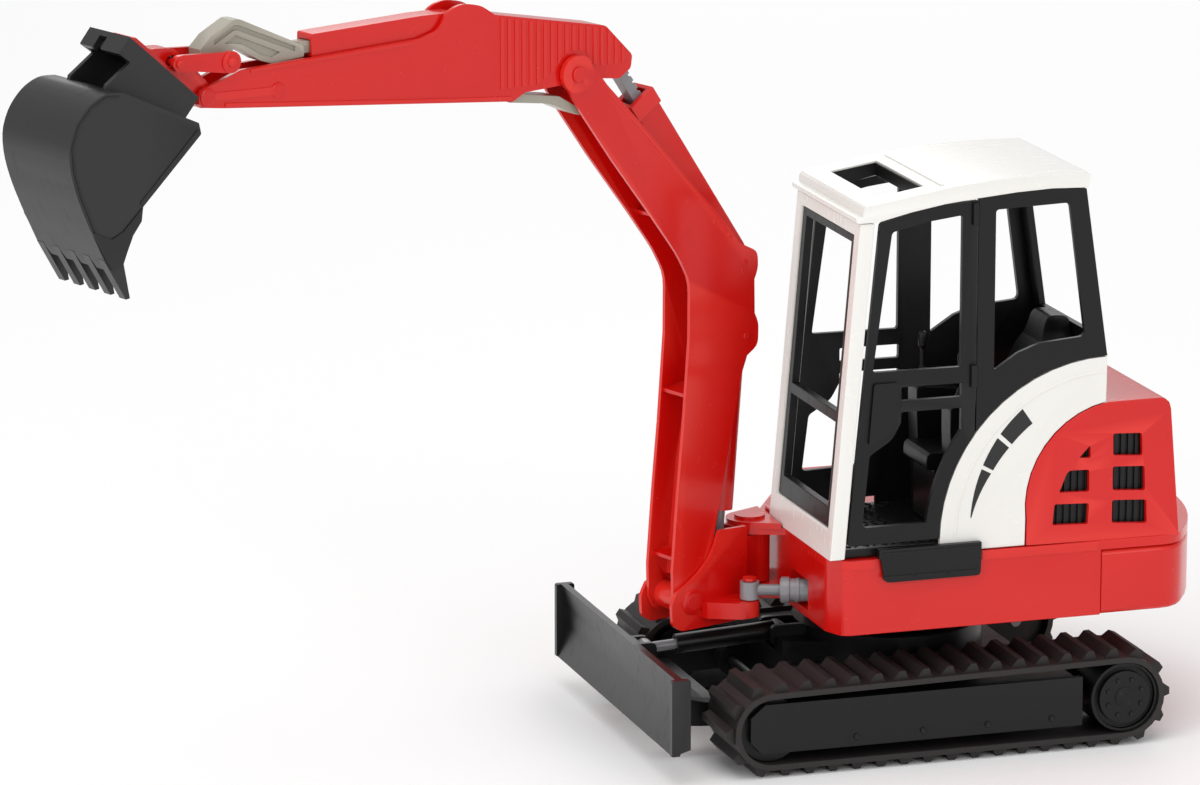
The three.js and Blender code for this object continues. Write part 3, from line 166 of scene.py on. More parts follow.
# %% Floor and lights
bpy.ops.mesh.primitive_plane_add(size=24, location=(0, 0, 0))
floor = bpy.context.object
floor.name = "studio_floor"
paper = new_material("pale_paper_floor")
paper_shader = add_node(paper, "BsdfPrincipled", {"Base Color": linear("#FDFDFD"), "Roughness": 0.9})
add_node(paper, "OutputMaterial", links={"Surface": (paper_shader, "BSDF")})
floor.data.materials.append(paper)

LAMPS = [
    ("lamp_above", (0.3, 0.5, 2.2), 1.8, 17),
    ("lamp_front_left", (1.9, 1.3, 1.0), 1.2, 15),
    ("lamp_camera_side", (-0.7, 2.2, 0.9), 1.2, 8),
    ("lamp_behind", (-0.8, -1.9, 1.4), 1.4, 9),
]
for name, place, size, power in LAMPS:
    lamp = bpy.data.objects.new(name, bpy.data.lights.new(name, "AREA"))
    bpy.context.scene.collection.objects.link(lamp)
    lamp.location = place
    lamp.rotation_euler = (Vector((0, 0, 0.12)) - Vector(place)).to_track_quat("-Z", "Y").to_euler()
    lamp.data.size = size
    lamp.data.energy = power

world = bpy.data.worlds.new("pale_room")
world.use_nodes = True
world.node_tree.nodes["Background"].inputs["Color"].default_value = linear("#FFFFFF")
world.node_tree.nodes["Background"].inputs["Strength"].default_value = 0.6
bpy.context.scene.world = world
bpy.context.scene.view_settings.view_transform = "Standard"
print("floor,", len(LAMPS), "lamps and a pale room")

# %% [markdown]
# Moulded ABS is glossy but never perfect: the skin of the mould leaves a very fine waviness,
# handling leaves hair scratches, and edges wear a little lighter and duller. One recipe serves
# every hard plastic here, because the real toy is moulded from one family of plastics that
# differ in colour and gloss. ABS bends light like most plastics, with an IOR near 1.53.

# %% The recipe for moulded plastic
ABS_IOR = 1.53
CLOUD = 1 / 0.045       # slow colour drift across a moulding, about 45 mm
SKIN = 1 / 0.0022       # mould-skin waviness; the real one is finer, drawn at 2.2 mm to show
HAIR = 1 / 0.012        # spacing of handling scratches


# Shine is the strength of the mirror-like part; satin mould skins scatter some of it away.
def moulded_plastic(name, colour, worn, shade, gloss, coat, skin_depth, shine=0.5):
    """Base colour, edge colour and the slightly deeper shade that drifts through the part."""
    material = new_material(name)
    place = add_node(material, "TexCoord")
    cloud = add_node(material, "TexNoise", {"Scale": CLOUD, "Detail": 3.0},
                     {"Vector": (place, "Object")})
    tint = add_node(material, "Mix", {"data_type": "RGBA", 6: linear(colour), 7: linear(shade)},
                    {0: (cloud, "Fac")})
    geometry = add_node(material, "NewGeometry")
    edge = add_node(material, "MapRange", {"From Min": 0.53, "From Max": 0.62, "To Max": 0.55},
                    {"Value": (geometry, "Pointiness")})
    painted = add_node(material, "Mix", {"data_type": "RGBA", 7: linear(worn)},
                       {0: (edge, "Result"), 6: (tint, 2)})
    stretch = add_node(material, "Mapping", {"Scale": (1.0, 6.0, 2.0), "Rotation": (0.5, 0.3, 0.7)},
                       {"Vector": (place, "Object")})
    scratch = add_node(material, "TexNoise", {"Scale": HAIR, "Detail": 2.0},
                       {"Vector": (stretch, "Vector")})
    scuffed = add_node(material, "MapRange",
                       {"From Min": 0.55, "From Max": 0.75, "To Min": gloss, "To Max": gloss + 0.07},
                       {"Value": (scratch, "Fac")})
    skin = add_node(material, "TexNoise", {"Scale": SKIN, "Detail": 2.0}, {"Vector": (place, "Object")})
    bump = add_node(material, "Bump", {"Strength": 0.2, "Distance": skin_depth},
                    {"Height": (skin, "Fac")})
    shader = add_node(material, "BsdfPrincipled",
                      {"IOR": ABS_IOR, "Specular IOR Level": shine, "Coat Weight": coat,
                       "Coat Roughness": 0.12},
                      {"Base Color": (painted, 2), "Roughness": (scuffed, "Result"),
                       "Normal": (bump, "Normal")})
    add_node(material, "OutputMaterial", links={"Surface": (shader, "BSDF")})
    return material


red_abs = moulded_plastic("glossy_red_abs", "#D6100A", "#E8352A", "#C60C07", 0.22, 0.25, 0.000006, 0.32)
white_abs = moulded_plastic(
    "glossy_off_white_abs", "#ECEBE6", "#F5F4F1", "#E3E1DB", 0.24, 0.25, 0.000006)
black_pp = moulded_plastic(
    "satin_black_polypropylene", "#0A0A0B", "#1F1F20", "#070708", 0.36, 0.0, 0.000015, 0.28)
charcoal_abs = moulded_plastic(
    "satin_charcoal_abs", "#141314", "#2E2D2E", "#100F10", 0.34, 0.0, 0.000015, 0.38)
silver_abs = moulded_plastic("silver_grey_abs", "#8A8B8F", "#A8A9AD", "#7B7C80", 0.28, 0.15, 0.00001)
warm_grey_abs = moulded_plastic("warm_grey_abs", "#A19C8E", "#B9B4A6", "#918C7F", 0.34, 0.1, 0.000015)
print("six moulded plastics")

# %% [markdown]
# The tracks are soft rubber-like vinyl. It is dull and brown-black, picks up pale dust in its
# hollows, and has a grain coarse enough to see. The printed stripes on the cab are a thin matt
# ink, so they only need a flat colour with a little unevenness.

# %% Track rubber and printed ink


GRAIN = 1 / 0.0009      # grain of the vinyl
PATCH = 1 / 0.02        # patches of tone along the belt
INK_SPECK = 1 / 0.0006  # unevenness of the print


def track_vinyl():
    material = new_material("brown_black_track_vinyl")
    place = add_node(material, "TexCoord")
    grain = add_node(material, "TexNoise", {"Scale": GRAIN, "Detail": 4.0},
                     {"Vector": (place, "Object")})
    patch = add_node(material, "TexNoise", {"Scale": PATCH, "Detail": 3.0},
                     {"Vector": (place, "Object")})
    tone = add_node(material, "Mix", {"data_type": "RGBA", 6: linear("#151111"), 7: linear("#241D1D")},
                    {0: (patch, "Fac")})
    geometry = add_node(material, "NewGeometry")
    hollow = add_node(material, "MapRange", {"From Min": 0.5, "From Max": 0.43, "To Max": 0.3},
                      {"Value": (geometry, "Pointiness")})
    dusty = add_node(material, "Mix", {"data_type": "RGBA", 7: linear("#4A4040")},
                     {0: (hollow, "Result"), 6: (tone, 2)})
    rough = add_node(material, "MapRange", {"To Min": 0.48, "To Max": 0.68}, {"Value": (patch, "Fac")})
    bump = add_node(material, "Bump", {"Strength": 0.5, "Distance": 0.0001}, {"Height": (grain, "Fac")})
    shader = add_node(material, "BsdfPrincipled", {"IOR": 1.5},
                      {"Base Color": (dusty, 2), "Roughness": (rough, "Result"),
                       "Normal": (bump, "Normal")})
    add_node(material, "OutputMaterial", links={"Surface": (shader, "BSDF")})
    return material


def printed_ink():
    material = new_material("matt_black_print")
    place = add_node(material, "TexCoord")
    speck = add_node(material, "TexNoise", {"Scale": INK_SPECK, "Detail": 3.0},
                     {"Vector": (place, "Object")})
    tone = add_node(material, "Mix", {"data_type": "RGBA", 6: linear("#161616"), 7: linear("#242424")},
                    {0: (speck, "Fac")})
    rough = add_node(material, "MapRange", {"To Min": 0.45, "To Max": 0.6}, {"Value": (speck, "Fac")})
    bump = add_node(material, "Bump", {"Strength": 0.2, "Distance": 0.00003}, {"Height": (speck, "Fac")})
    shader = add_node(material, "BsdfPrincipled", {"IOR": 1.48},
                      {"Base Color": (tone, 2), "Roughness": (rough, "Result"),
                       "Normal": (bump, "Normal")})
    add_node(material, "OutputMaterial", links={"Surface": (shader, "BSDF")})
    return material


track_rubber = track_vinyl()
ink = printed_ink()
plastic_for = {
    "red_body": red_abs,
    "white_cab": white_abs,
    "black_frame": black_pp,
    "charcoal_tool": charcoal_abs,
    "grey_rod": silver_abs,
    "warm_grey_rod": warm_grey_abs,
    "track_rubber": track_rubber,
}
print("plastics for", len(plastic_for), "slots")

# %% [markdown]
# A mould never has knife edges. Each CAD moulding is copied, its loose triangles are merged and
# its flat faces are cleaned, and then a Bevel modifier rounds every edge sharper than 30 degrees.
# The bevel stays well below a millimetre on small parts. The CAD piece itself is left alone: the
# copy stands in for it.

# %% Soften the edges of every moulding


def only(piece):
    """Makes one object the selected and active one."""
    bpy.ops.object.select_all(action="DESELECT")
    piece.select_set(True)
    bpy.context.view_layer.objects.active = piece


def soften(piece, width, segments=2, sharp=30):
    """Rounds the edges of a piece by a width in millimetres and smooths its shading."""
    only(piece)
    bevel = piece.modifiers.new("soft_edges", "BEVEL")
    bevel.width = width * MM
    bevel.segments = segments
    bevel.limit_method = "ANGLE"
    bevel.angle_limit = math.radians(sharp)
    bevel.use_clamp_overlap = True
    bevel.harden_normals = False
    bpy.ops.object.modifier_apply(modifier=bevel.name)
    bpy.ops.object.shade_smooth_by_angle(angle=math.radians(28))
    flatten = piece.modifiers.new("keep_large_faces_flat", "WEIGHTED_NORMAL")
    flatten.keep_sharp = True
    bpy.ops.object.modifier_apply(modifier=flatten.name)


def merged_copy(node, name):
    """A copy of a CAD moulding with its triangles merged into clean faces."""
    piece = bpy.data.objects.new(name, frame["nodes"][node].data.copy())
    bpy.context.scene.collection.objects.link(piece)
    only(piece)
    bpy.ops.object.mode_set(mode="EDIT")
    bpy.ops.mesh.select_all(action="SELECT")
    bpy.ops.mesh.remove_doubles(threshold=0.000005)
    bpy.ops.mesh.dissolve_limited(angle_limit=math.radians(0.5))
    bpy.ops.object.mode_set(mode="OBJECT")
    return piece


def round_edges(piece, choose, width, segments=3):
    """Rounds only the edges that choose(middle, direction) picks, both in metres."""
    only(piece)
    bpy.ops.object.mode_set(mode="EDIT")
    bpy.ops.mesh.select_mode(type="EDGE")
    bpy.ops.mesh.select_all(action="DESELECT")
    bpy.ops.object.mode_set(mode="OBJECT")
    vertices = piece.data.vertices
    picked = 0
    for edge in piece.data.edges:
        a, b = (vertices[i].co for i in edge.vertices)
        edge.select = choose((a + b) / 2, (b - a).normalized())
        picked += edge.select
    bpy.ops.object.mode_set(mode="EDIT")
    bpy.ops.mesh.bevel(offset=width * MM, segments=segments, affect="EDGES", clamp_overlap=True)
    bpy.ops.object.mode_set(mode="OBJECT")
    return picked


def finish(piece, body, slot, material=None):
    """Gives a piece the plastic for its slot and the body it rides on."""
    piece.data.materials.clear()
    piece.data.materials.append(material or plastic_for[slot])
    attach(piece, body)
    return piece


# Edge rounding in millimetres. Anything not listed is a small part and gets the last value.
EDGE = {
    "deck": 0.7, "counterweight": 0.6, "engine_hood": 0.35, "right_cover": 0.6, "cab_roof": 0.7,
    "front_corner_frame": 0.6, "side_panel_left": 0.35, "side_panel_right": 0.35, "seat": 1.6,
    "seat_box": 0.6, "console_left": 0.5, "console_right": 0.5, "chassis": 0.5, "blade": 0.3,
    "rubber_track_left": 0.25, "rubber_track_right": 0.25, "bucket": 0.3, "boom": 0.3, "stick": 0.5,
    "swing_bracket": 0.35, "track_frame_left": 0.5, "track_frame_right": 0.5, "turntable": 0.6,
    "hood_grille_left": 0.12, "hood_grille_right": 0.12,
}
SMALL_EDGE = 0.25

mouldings = {}
for node in sorted(frame["nodes"]):
    piece = merged_copy(node, node + "_moulding")
    mouldings[node] = piece

# %% [markdown]
# A few mouldings have much rounder corners than the rest: the deck's sole, the hood's side edges,
# the roof's rim and the rear weight. Those edges are picked by where they run and rounded first.

# %% Round the large corners
FACE_SLACK = 0.0002      # metres; how near an edge must be to a face of the box to count as on it
HOOD_FOOT = 69           # the hood's lowest edge, which stays sharp where it meets the deck
HOOD_TOP_FROM = 106
HOOD_REAR_FROM = -72
HOOD_ARC_CENTRE = (-58, 80.5)
HOOD_ARC_FROM = 27.5     # just inside the round front's radius
hood_low, hood_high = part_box("engine_hood")


def on_hood_rim(middle, direction):
    point = in_axes(MACHINE, middle)
    at_side = min(abs(middle.y - hood_low.y), abs(middle.y - hood_high.y)) < FACE_SLACK
    outside = point.z > HOOD_FOOT and (point.z > HOOD_TOP_FROM or point.x < HOOD_REAR_FROM)
    return at_side and outside and abs(direction.y) < 0.2


def on_hood_front(middle, direction):
    """The round front edge of the hood's side, where it meets the white panel."""
    point = in_axes(MACHINE, middle)
    at_side = min(abs(middle.y - hood_low.y), abs(middle.y - hood_high.y)) < FACE_SLACK
    from_centre = math.hypot(point.x - HOOD_ARC_CENTRE[0], point.z - HOOD_ARC_CENTRE[1])
    outside = point.x > -62 and from_centre > HOOD_ARC_FROM
    return at_side and outside and abs(direction.y) < 0.2 and point.z > HOOD_FOOT


roof_low, roof_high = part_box("cab_roof")


def on_roof_rim(middle, direction):
    at_side = min(abs(middle.y - roof_low.y), abs(middle.y - roof_high.y)) < FACE_SLACK
    return at_side and in_axes(MACHINE, middle).z > 176.5 and abs(direction.z) < 0.9


weight_low, weight_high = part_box("counterweight")


def on_weight_rim(middle, direction):
    at_end = min(abs(middle.z - weight_low.z), abs(middle.z - weight_high.z)) < FACE_SLACK
    return at_end and middle.x < weight_high.x - 0.002


deck_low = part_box("deck")[0]
DECK_HALF = 57.5
DECK_TAIL = 91.0


def on_deck_rim(middle, direction):
    """The outer rim of the deck's underside, which is rounded like the sole of a tub."""
    point = in_axes(MACHINE, middle)
    outer = abs(point.y) > DECK_HALF - 0.6 or point.x > 37.5 or math.hypot(point.x, point.y) > DECK_TAIL
    return middle.z < deck_low.z + FACE_SLACK and outer


print("deck edges", round_edges(mouldings["deck"], on_deck_rim, 1.8, 3))
print("hood edges", round_edges(mouldings["engine_hood"], on_hood_rim, 2.2, 4))
print("hood front edges", round_edges(mouldings["engine_hood"], on_hood_front, 0.9, 3))
print("roof edges", round_edges(mouldings["cab_roof"], on_roof_rim, 1.6, 3))
print("weight edges", round_edges(mouldings["counterweight"], on_weight_rim, 1.8, 3))

# %% [markdown]
# Now each moulding gets its edge rounding, its plastic and its place in the frame. The plastic is
# chosen by the moulding's material slot, so one list of seven plastics serves all sixty.

# %% Finish every moulding
for node, piece in mouldings.items():
    soften(piece, EDGE.get(node, SMALL_EDGE))
    finish(piece, body_of[node], slot_of[node])
    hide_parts(node)
print(len(mouldings), "mouldings softened and painted")

# %% [markdown]
# Added detail is built from three starts: a plate drawn out from an outline, a strip that follows
# a line, and a round boss. Each is made in millimetres, softened, and set down in the machine's
# or the arm's axes.

# %% Plates, strips and bosses


def set_down(piece, axes):
    """Puts a piece made in millimetres in its place, with the place kept in the mesh."""
    piece.data.transform(axes)
    piece.matrix_world = Matrix.Identity(4)
    only(piece)
    bpy.ops.object.mode_set(mode="EDIT")
    bpy.ops.mesh.select_all(action="SELECT")
    bpy.ops.mesh.normals_make_consistent(inside=False)
    bpy.ops.object.mode_set(mode="OBJECT")
    return piece


def plate(outline, near, far, upright=True):
    """A plate whose outline is in x and z, drawn from one y to another; or in x and y, drawn up z."""
    depth = Vector((0, far - near, 0)) if upright else Vector((0, 0, far - near))
    points = [(a, near, b) if upright else (a, b, near) for a, b in outline]
    mesh = bpy.data.meshes.new("plate")
    mesh.from_pydata(points, [], [list(range(len(points)))])
    piece = bpy.data.objects.new("plate", mesh)
    bpy.context.scene.collection.objects.link(piece)
    only(piece)
    bpy.ops.object.mode_set(mode="EDIT")
    bpy.ops.mesh.select_all(action="SELECT")
    bpy.ops.mesh.extrude_region_move(TRANSFORM_OT_translate={"value": depth})
    bpy.ops.object.mode_set(mode="OBJECT")
    return piece


def strip(line, width, start=0.0):
    """The outline of a strip of one width along a line of points, measured to its left."""
    points = [Vector(p) for p in line]
    normals = []
    for i in range(len(points)):
        before = points[max(i - 1, 0)]
        after = points[min(i + 1, len(points) - 1)]
        along = (after - before).normalized()
        normals.append(Vector((-along.y, along.x)))
    near = [p + n * start for p, n in zip(points, normals)]
    far = [p + n * (start + width) for p, n in zip(points, normals)]
    return [tuple(p) for p in near] + [tuple(p) for p in reversed(far)]


def arc(centre, radius, start, end, steps):
    angles = [math.radians(start + (end - start) * i / steps) for i in range(steps + 1)]
    return [(centre[0] + radius * math.cos(a), centre[1] + radius * math.sin(a)) for a in angles]


def boss(x, z, radius, near, far, crown=0.25, sides=32):
    """A round boss across the machine: a cylinder with its end pulled in to a shallow crown."""
    bpy.ops.object.select_all(action="DESELECT")
    bpy.ops.mesh.primitive_cylinder_add(
        vertices=sides, radius=radius, depth=abs(far - near),
        location=(x, (near + far) / 2, z), rotation=(math.radians(90), 0, 0),
    )
    piece = bpy.context.object
    bpy.ops.object.transform_apply(location=True, rotation=True, scale=True)
    bpy.ops.object.mode_set(mode="EDIT")
    bpy.ops.mesh.select_all(action="DESELECT")
    bpy.ops.object.mode_set(mode="OBJECT")
    outward = 1 if far > near else -1
    for face in piece.data.polygons:
        face.select = face.normal.y * outward > 0.9
    bpy.ops.object.mode_set(mode="EDIT")
    bpy.ops.mesh.inset(thickness=radius * 0.3, depth=min(crown, radius * 0.3))
    bpy.ops.mesh.inset(thickness=radius * 0.25, depth=-min(crown, radius * 0.3) * 0.6)
    bpy.ops.object.mode_set(mode="OBJECT")
    return piece


def gather(name, pieces, axes, edge, segments=2):
    """Joins pieces into one, sets it down and softens it."""
    bpy.ops.object.select_all(action="DESELECT")
    for piece in pieces:
        piece.select_set(True)
    bpy.context.view_layer.objects.active = pieces[0]
    if len(pieces) > 1:
        bpy.ops.object.join()
    piece = bpy.context.object
    piece.name = name
    piece.data.name = name
    set_down(piece, axes)
    soften(piece, edge, segments)
    print(name, "has", len(piece.data.polygons), "faces")
    return piece


# %% [markdown]
# The stick's rear end carries a row of moulded ribs on each side, with a smooth triangle below
# them, and a flange runs along each long edge. On the real part they stiffen a thin wall. They
# stand only a third of a millimetre proud, because the boom's ears pass close beside them.

# %% Ribs and flanges of the stick
STICK_SIDE = 5.4
RIB_PROUD = 0.28
RIB_PITCH = 2.75
RIB_COUNT = 18
RIB_WIDTH = 1.35
EAR_CLEAR = 7.4


def rib_foot(x):
    """Lowest point of a rib: above the boom's ear, above the smooth triangle, or on the flange."""
    if x < stick_pin.x - EAR_CLEAR:
        return 224.6
    if x < stick_pin.x + EAR_CLEAR:
        return stick_pin.z + math.sqrt(EAR_CLEAR ** 2 - (x - stick_pin.x) ** 2)
    return max(221.4, 224.4 - 0.55 * (x - 84))


def rib_head(x):
    if x < 62.8:
        return 226.6 + 0.98 * (x - 52.3) - 0.4
    return 236.9 + 0.1854 * (x - 62.8) - 0.7


ribs = []
for side in (1, -1):
    for i in range(RIB_COUNT):
        x = 55.4 + i * RIB_PITCH
        outline = [(x, rib_foot(x)), (x + RIB_WIDTH, rib_foot(x + RIB_WIDTH)),
                   (x + RIB_WIDTH, rib_head(x + RIB_WIDTH)), (x, rib_head(x))]
        ribs.append(plate(outline, side * (STICK_SIDE - 0.3), side * (STICK_SIDE + RIB_PROUD)))
finish(gather("stick_side_ribs", ribs, ARM, 0.1), "stick", "red_body")

flanges = []
LOWER_EDGE = [(205.3, 227.7), (134.3, 220.7), (99.4, 217.5)]
UPPER_EDGE = [(136, 240.1), (175.8, 238.9), (196, 238.2)]
NOSE_BAR = [(186, 229.4), (bucket_pin.x, 230.1), (bucket_pin.x, 232.6), (186, 231.9)]
for side in (1, -1):
    inner, outer = side * (STICK_SIDE - 0.3), side * (STICK_SIDE + 0.4)
    flanges.append(plate(strip(LOWER_EDGE, -1.3), inner, outer))
    flanges.append(plate(strip(UPPER_EDGE, -1.1), inner, outer))
    flanges.append(plate(NOSE_BAR, inner, side * (STICK_SIDE + 0.3)))
    flanges.append(boss(186, 230.7, 2.4, inner, side * (STICK_SIDE + 0.35), 0.15))
    flanges.append(boss(bucket_pin.x, bucket_pin.z, 2.8, inner, side * (STICK_SIDE + 0.38), 0.15))
finish(gather("stick_flanges", flanges, ARM, 0.15), "stick", "red_body")

# %% [markdown]
# The boom is an open channel with smooth sides. Only a fine raised line follows its rear edge, and
# the two cylinder pins end in small dots. A strip that follows the edge gives the line.

# %% Edge line and pin ends of the boom
BOOM_SIDE = 7.0
REAR_EDGE = [(62.5, 216.8), (48.5, 203.1), (30.6, 183.9), (16.3, 168.9), (12.6, 164.2)]
boom_detail = []
for side in (1, -1):
    inner = side * (BOOM_SIDE - 0.4)
    boom_detail.append(plate(strip(REAR_EDGE, 0.8, 0.5), inner, side * (BOOM_SIDE + 0.2)))
    for pin in (boom_barrel_pin, stick_barrel_pin):
        boom_detail.append(boss(pin.x, pin.z, 1.0, inner, side * (BOOM_SIDE + 0.25), 0.12, 16))
finish(gather("boom_edge_lines", boom_detail, ARM, 0.12), "boom", "red_body")

# %% [markdown]
# The bucket's cheeks are thicker towards the teeth, with a stepped edge, and a lip runs along the
# mouth. A fine rim follows the curved back. All three are raised on the outside of each cheek.

# %% Cutter plates, lips and rims of the bucket
BUCKET_SIDE = 18.0
CUTTER = [(243.4, 204.3), (250.4, 197.9), (254.3, 196.3), (261.3, 199.4), (258.7, 194.6), (256.2, 189.8),
          (254.4, 187), (250.8, 187.6), (249.1, 191.8), (246.9, 196.6), (243.9, 200.4)]
MOUTH_EDGE = [(222.6, 223.9), (243.2, 204.6)]
CHEEK_RIM = [(250.6, 238.3), (255, 238.7), (260.2, 236.2), (265, 231.2), (267.4, 224.7), (266.9, 217.5),
             (264.7, 209.8), (260.9, 200.7), (258.4, 195.4)]
cheeks = []
for side in (1, -1):
    inner = side * (BUCKET_SIDE - 0.5)
    cheeks.append(plate(strip(CHEEK_RIM, -0.9), inner, side * (BUCKET_SIDE + 0.3)))
    cheeks.append(plate(CUTTER, inner, side * (BUCKET_SIDE + 0.5)))
    cheeks.append(plate(strip(MOUTH_EDGE, 1.5), inner, side * (BUCKET_SIDE + 0.4)))
finish(gather("bucket_cheek_plates", cheeks, ARM, 0.2), "bucket", "charcoal_tool")

# %% [markdown]
# The pin at the foot of the boom passes through the swing bracket. A round boss on each cheek of
# the bracket surrounds the pin, in the same red.

# %% Bosses of the swing bracket
heads = []
for side in (1, -1):
    heads.append(boss(boom_foot.x, boom_foot.z, 4.2, side * 8.2, side * 9.0, 0.3))
finish(gather("bracket_bosses", heads, ARM, 0.2), "swing_bracket", "red_body")

# %% [markdown]
# The side panel beside the hood has an embossed line that follows its curve, and dark printed
# stripes that narrow towards the bottom. The stripes are thin plates, a tenth of a millimetre
# proud, so that they read as print in any light.

# %% Curved panel: embossed line and printed stripes
PANEL_CENTRE = (-52.5, 71.5)
PANEL_FACE = 57.0
emboss = [plate(strip(arc(PANEL_CENTRE, 51.5, 2, 88, 32), 0.7), PANEL_FACE - 0.3, PANEL_FACE + 0.25)]
finish(gather("panel_embossed_line", emboss, MACHINE, 0.1), "house", "white_cab")

# Each stripe: the angles where it starts and ends, then its inner and outer radius at both.
STRIPES = [
    (8.5, 28, (46.0, 46.3), (44.2, 47.8)),
    (29.5, 41, (44.1, 48.0), (43.8, 49.0)),
    (42.8, 55, (43.8, 49.1), (44.0, 50.0)),
]


def band(start, end, at_start, at_end, steps=6):
    """A curved stripe about the panel's centre whose width changes along its length."""
    near, far = [], []
    for i in range(steps + 1):
        t = i / steps
        angle = math.radians(start + (end - start) * t)
        for points, a, b in ((near, at_start[0], at_end[0]), (far, at_start[1], at_end[1])):
            radius = a + (b - a) * t
            points.append((PANEL_CENTRE[0] + radius * math.cos(angle),
                           PANEL_CENTRE[1] + radius * math.sin(angle)))
    return near + far[::-1]


stripes = [plate(band(*stripe), PANEL_FACE - 0.2, PANEL_FACE + 0.1) for stripe in STRIPES]
finish(gather("panel_printed_stripes", stripes, MACHINE, 0.04, 1), "house", "black_frame", ink)

# %% [markdown]
# The deck's top rim stands a little proud of its side. A strip that follows the deck's plan,
# interrupted where the black step sits, gives that line. It starts inside the wall, so the two
# mouldings read as one.

# %% Rim of the deck
RIM_PROUD = 0.4
RIM_ROOT = 0.5
rim_front = [(25.4, DECK_HALF), (33.2, DECK_HALF), (35.6, 56.2), (38.4, 51.6), (39.2, 48.6), (39.2, 16)]
rim_rear = [(-50, DECK_HALF), (-10.6, DECK_HALF)]
rims = [plate(strip(line, RIM_ROOT + RIM_PROUD, -RIM_ROOT), 64.4, 67.4, upright=False)
        for line in (rim_front, rim_rear)]
finish(gather("deck_rim", rims, MACHINE, 0.15), "house", "red_body")

# %% [markdown]
# Inside, the cab is lined in black: around the roof window, and on the inner face of the white
# quarter panel. The roof lining is a frame of four bars. The quarter lining is the panel itself,
# copied, pressed thin and set against its inner face.

# %% Black linings of the cab
WINDOW_X = (7.2, 23.0)
WINDOW_Y = (5.5, 48.5)
LINING = 0.5
ROOT = 0.4
rear_wall = [(WINDOW_X[0] - ROOT, 179.9), (WINDOW_X[0] + LINING, 179.8),
             (WINDOW_X[0] + LINING, 183.8), (WINDOW_X[0] - ROOT, 184.0)]
front_wall = [(WINDOW_X[1] - LINING, 176.5), (WINDOW_X[1] + ROOT, 176.4),
              (WINDOW_X[1] + ROOT, 181.2), (WINDOW_X[1] - LINING, 181.5)]
side_wall = [(WINDOW_X[0], 179.9), (WINDOW_X[1], 176.5), (WINDOW_X[1], 181.4), (WINDOW_X[0], 183.9)]
bars = [
    plate(rear_wall, *WINDOW_Y),
    plate(front_wall, *WINDOW_Y),
    plate(side_wall, WINDOW_Y[0] - ROOT, WINDOW_Y[0] + LINING),
    plate(side_wall, WINDOW_Y[1] - LINING, WINDOW_Y[1] + ROOT),
]
finish(gather("roof_window_lining", bars, MACHINE, 0.1), "house", "black_frame")

panel_low, panel_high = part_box("side_panel_left")
quarter = merged_copy("side_panel_left", "quarter_panel_lining")
panel_middle = (panel_low.y + panel_high.y) / 2
thinner = Matrix.Diagonal((1, LINING * MM / (panel_high.y - panel_low.y), 1, 1))
inside = panel_low.y - LINING * MM / 2
press = Matrix.Translation((0, inside, 0)) @ thinner @ Matrix.Translation((0, -panel_middle, 0))
quarter.data.transform(press)
soften(quarter, 0.1, 1)
finish(quarter, "house", "black_frame")
print("linings inside the cab")

# %% [markdown]
# Bolt heads on the track frames and the ring of eight on each rear wheel are small crowned
# bosses. One is modelled and placed again for each bolt.

# %% Bolt heads of the undercarriage
FRAME_FACE = 61.2
WHEEL_FACE = 61.4
bolts = []
for side in (1, -1):
    for x in (32.3, 9.9, -12, -33.9):
        bolts.append(boss(x, 11.1, 1.0, side * (FRAME_FACE - 0.3), side * (FRAME_FACE + 0.5), 0.2, 12))
finish(gather("track_frame_bolts", bolts, MACHINE, 0.12), "undercarriage", "black_frame")

WHEEL_BOLTS = 8
BOLT_RING = 6.1
for word, side in (("left", 1), ("right", -1)):
    ring = []
    for i in range(WHEEL_BOLTS):
        turn = 2 * math.pi * (i + 0.5) / WHEEL_BOLTS
        ring.append(boss(drive.x + BOLT_RING * math.cos(turn), drive.z + BOLT_RING * math.sin(turn), 0.8,
                         side * (WHEEL_FACE - 0.3), side * (WHEEL_FACE + 0.4), 0.2, 10))
    ring.append(boss(drive.x, drive.z, 3.4,
                     side * (WHEEL_FACE - 0.3), side * (WHEEL_FACE + 0.25), 0.15, 28))
    finish(gather(f"drive_wheel_bolts_{word}", ring, MACHINE, 0.12), f"drive_{word}", "black_frame")

# %% [markdown]
# The cab floor is moulded as tread plate, with short raised bars that turn one way and then the
# other. The side step has three raised grips, and the roof a thin line behind its window.

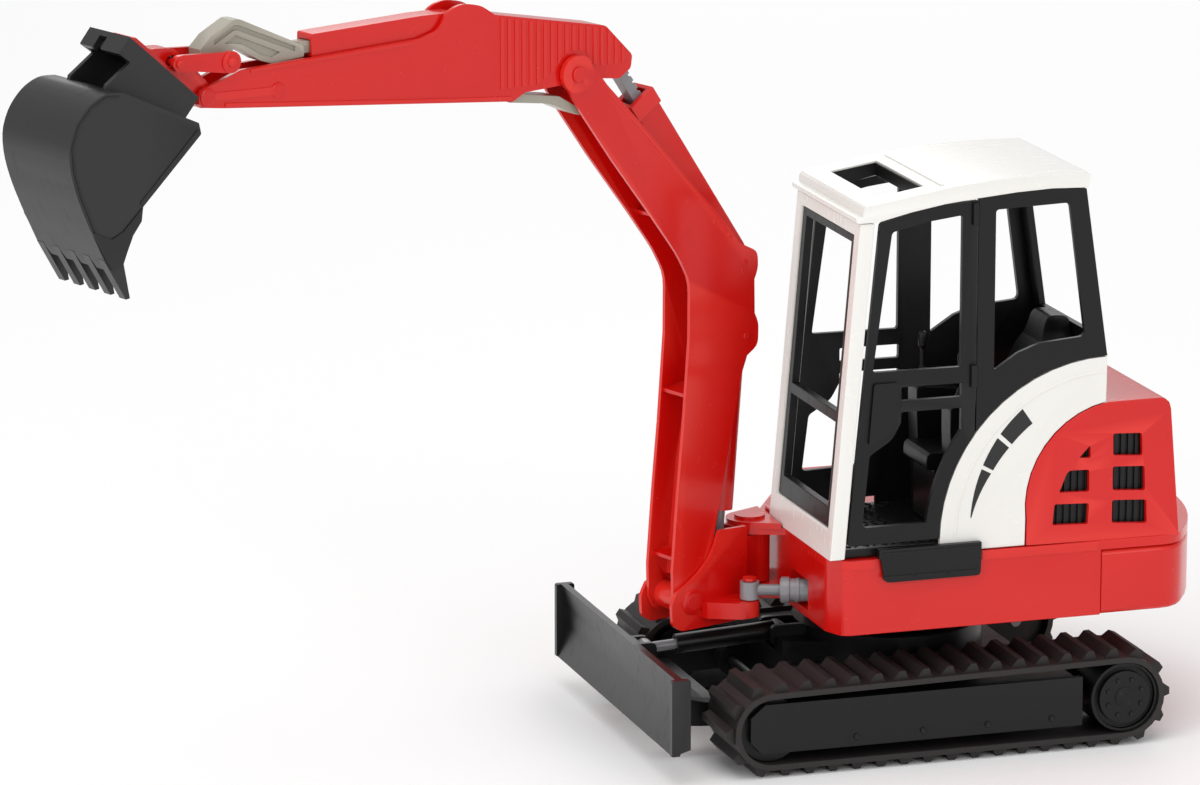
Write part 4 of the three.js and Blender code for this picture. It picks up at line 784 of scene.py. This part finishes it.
# %% Tread plate, step grips and roof line
FLOOR_TOP = 70.6
TREAD_PITCH = 3.1
treads = []
for row in range(11):
    for column in range(17):
        x = 3 + row * TREAD_PITCH - 1.2
        y = 2.4 + column * TREAD_PITCH
        if y > 53.5 or (x < 9 and 5.5 < y < 48):
            continue
        lean = 0.9 if (row + column) % 2 else -0.9
        outline = [(x - 0.9, y - lean - 0.25), (x + 0.9, y + lean - 0.25),
                   (x + 0.9, y + lean + 0.25), (x - 0.9, y - lean + 0.25)]
        treads.append(plate(outline, FLOOR_TOP - 0.2, FLOOR_TOP + 0.35, upright=False))
finish(gather("floor_tread_bars", treads, MACHINE, 0.08, 1), "house", "black_frame")

STEP_FACE = 59.3
grips = [plate([(x, 61.2), (x + 10, 61.2), (x + 10, 62.1), (x, 62.1)], STEP_FACE - 0.2, STEP_FACE + 0.3)
         for x in (-8.6, 2.6, 13.4)]
grips += [plate([(x, 69), (x + 10, 69), (x + 10, 69.8), (x, 69.8)], STEP_FACE - 0.2, STEP_FACE + 0.25)
          for x in (-8.6, 2.6, 13.4)]
finish(gather("side_step_grips", grips, MACHINE, 0.1), "house", "black_frame")

roof_line = [plate([(2.2, 185.0), (3.2, 184.8), (3.2, 185.6), (2.2, 185.8)], 2, 53)]
finish(gather("roof_lines", roof_line, MACHINE, 0.15), "house", "white_cab")

# %% [markdown]
# The swing cylinder has a wide collar at its mouth and a ring halfway along, as turned steel
# would. The boom cylinder has one collar too, which is not added here. Each is a ring around the barrel.

# %% Collars of the cylinders


def collar(pin, towards, distance, radius, length, sides=28):
    """A ring around a barrel, at a distance from its pin, in metres and in the row's axes."""
    along = (towards - pin).normalized()
    middle = pin + along * distance * MM
    bpy.ops.object.select_all(action="DESELECT")
    bpy.ops.mesh.primitive_cylinder_add(
        vertices=sides, radius=radius * MM, depth=length * MM, location=middle,
        rotation=along.to_track_quat("Z", "Y").to_euler(), end_fill_type="NOTHING",
    )
    piece = bpy.context.object
    bpy.ops.object.transform_apply(location=True, rotation=True, scale=True)
    wall = piece.modifiers.new("wall", "SOLIDIFY")
    wall.thickness = 0.75 * MM
    wall.offset = -1
    bpy.ops.object.modifier_apply(modifier=wall.name)
    return piece


swing_base, swing_eye = joint_place("swing_barrel_swivel"), joint_place("swing_rod_swivel")
collars = [collar(swing_base, swing_eye, 30.2, 4.25, 2.6),
           collar(swing_base, swing_eye, 26.2, 3.95, 1.2)]
finish(gather("swing_cylinder_collars", collars, Matrix.Identity(4), 0.2), "swing_barrel", "grey_rod")
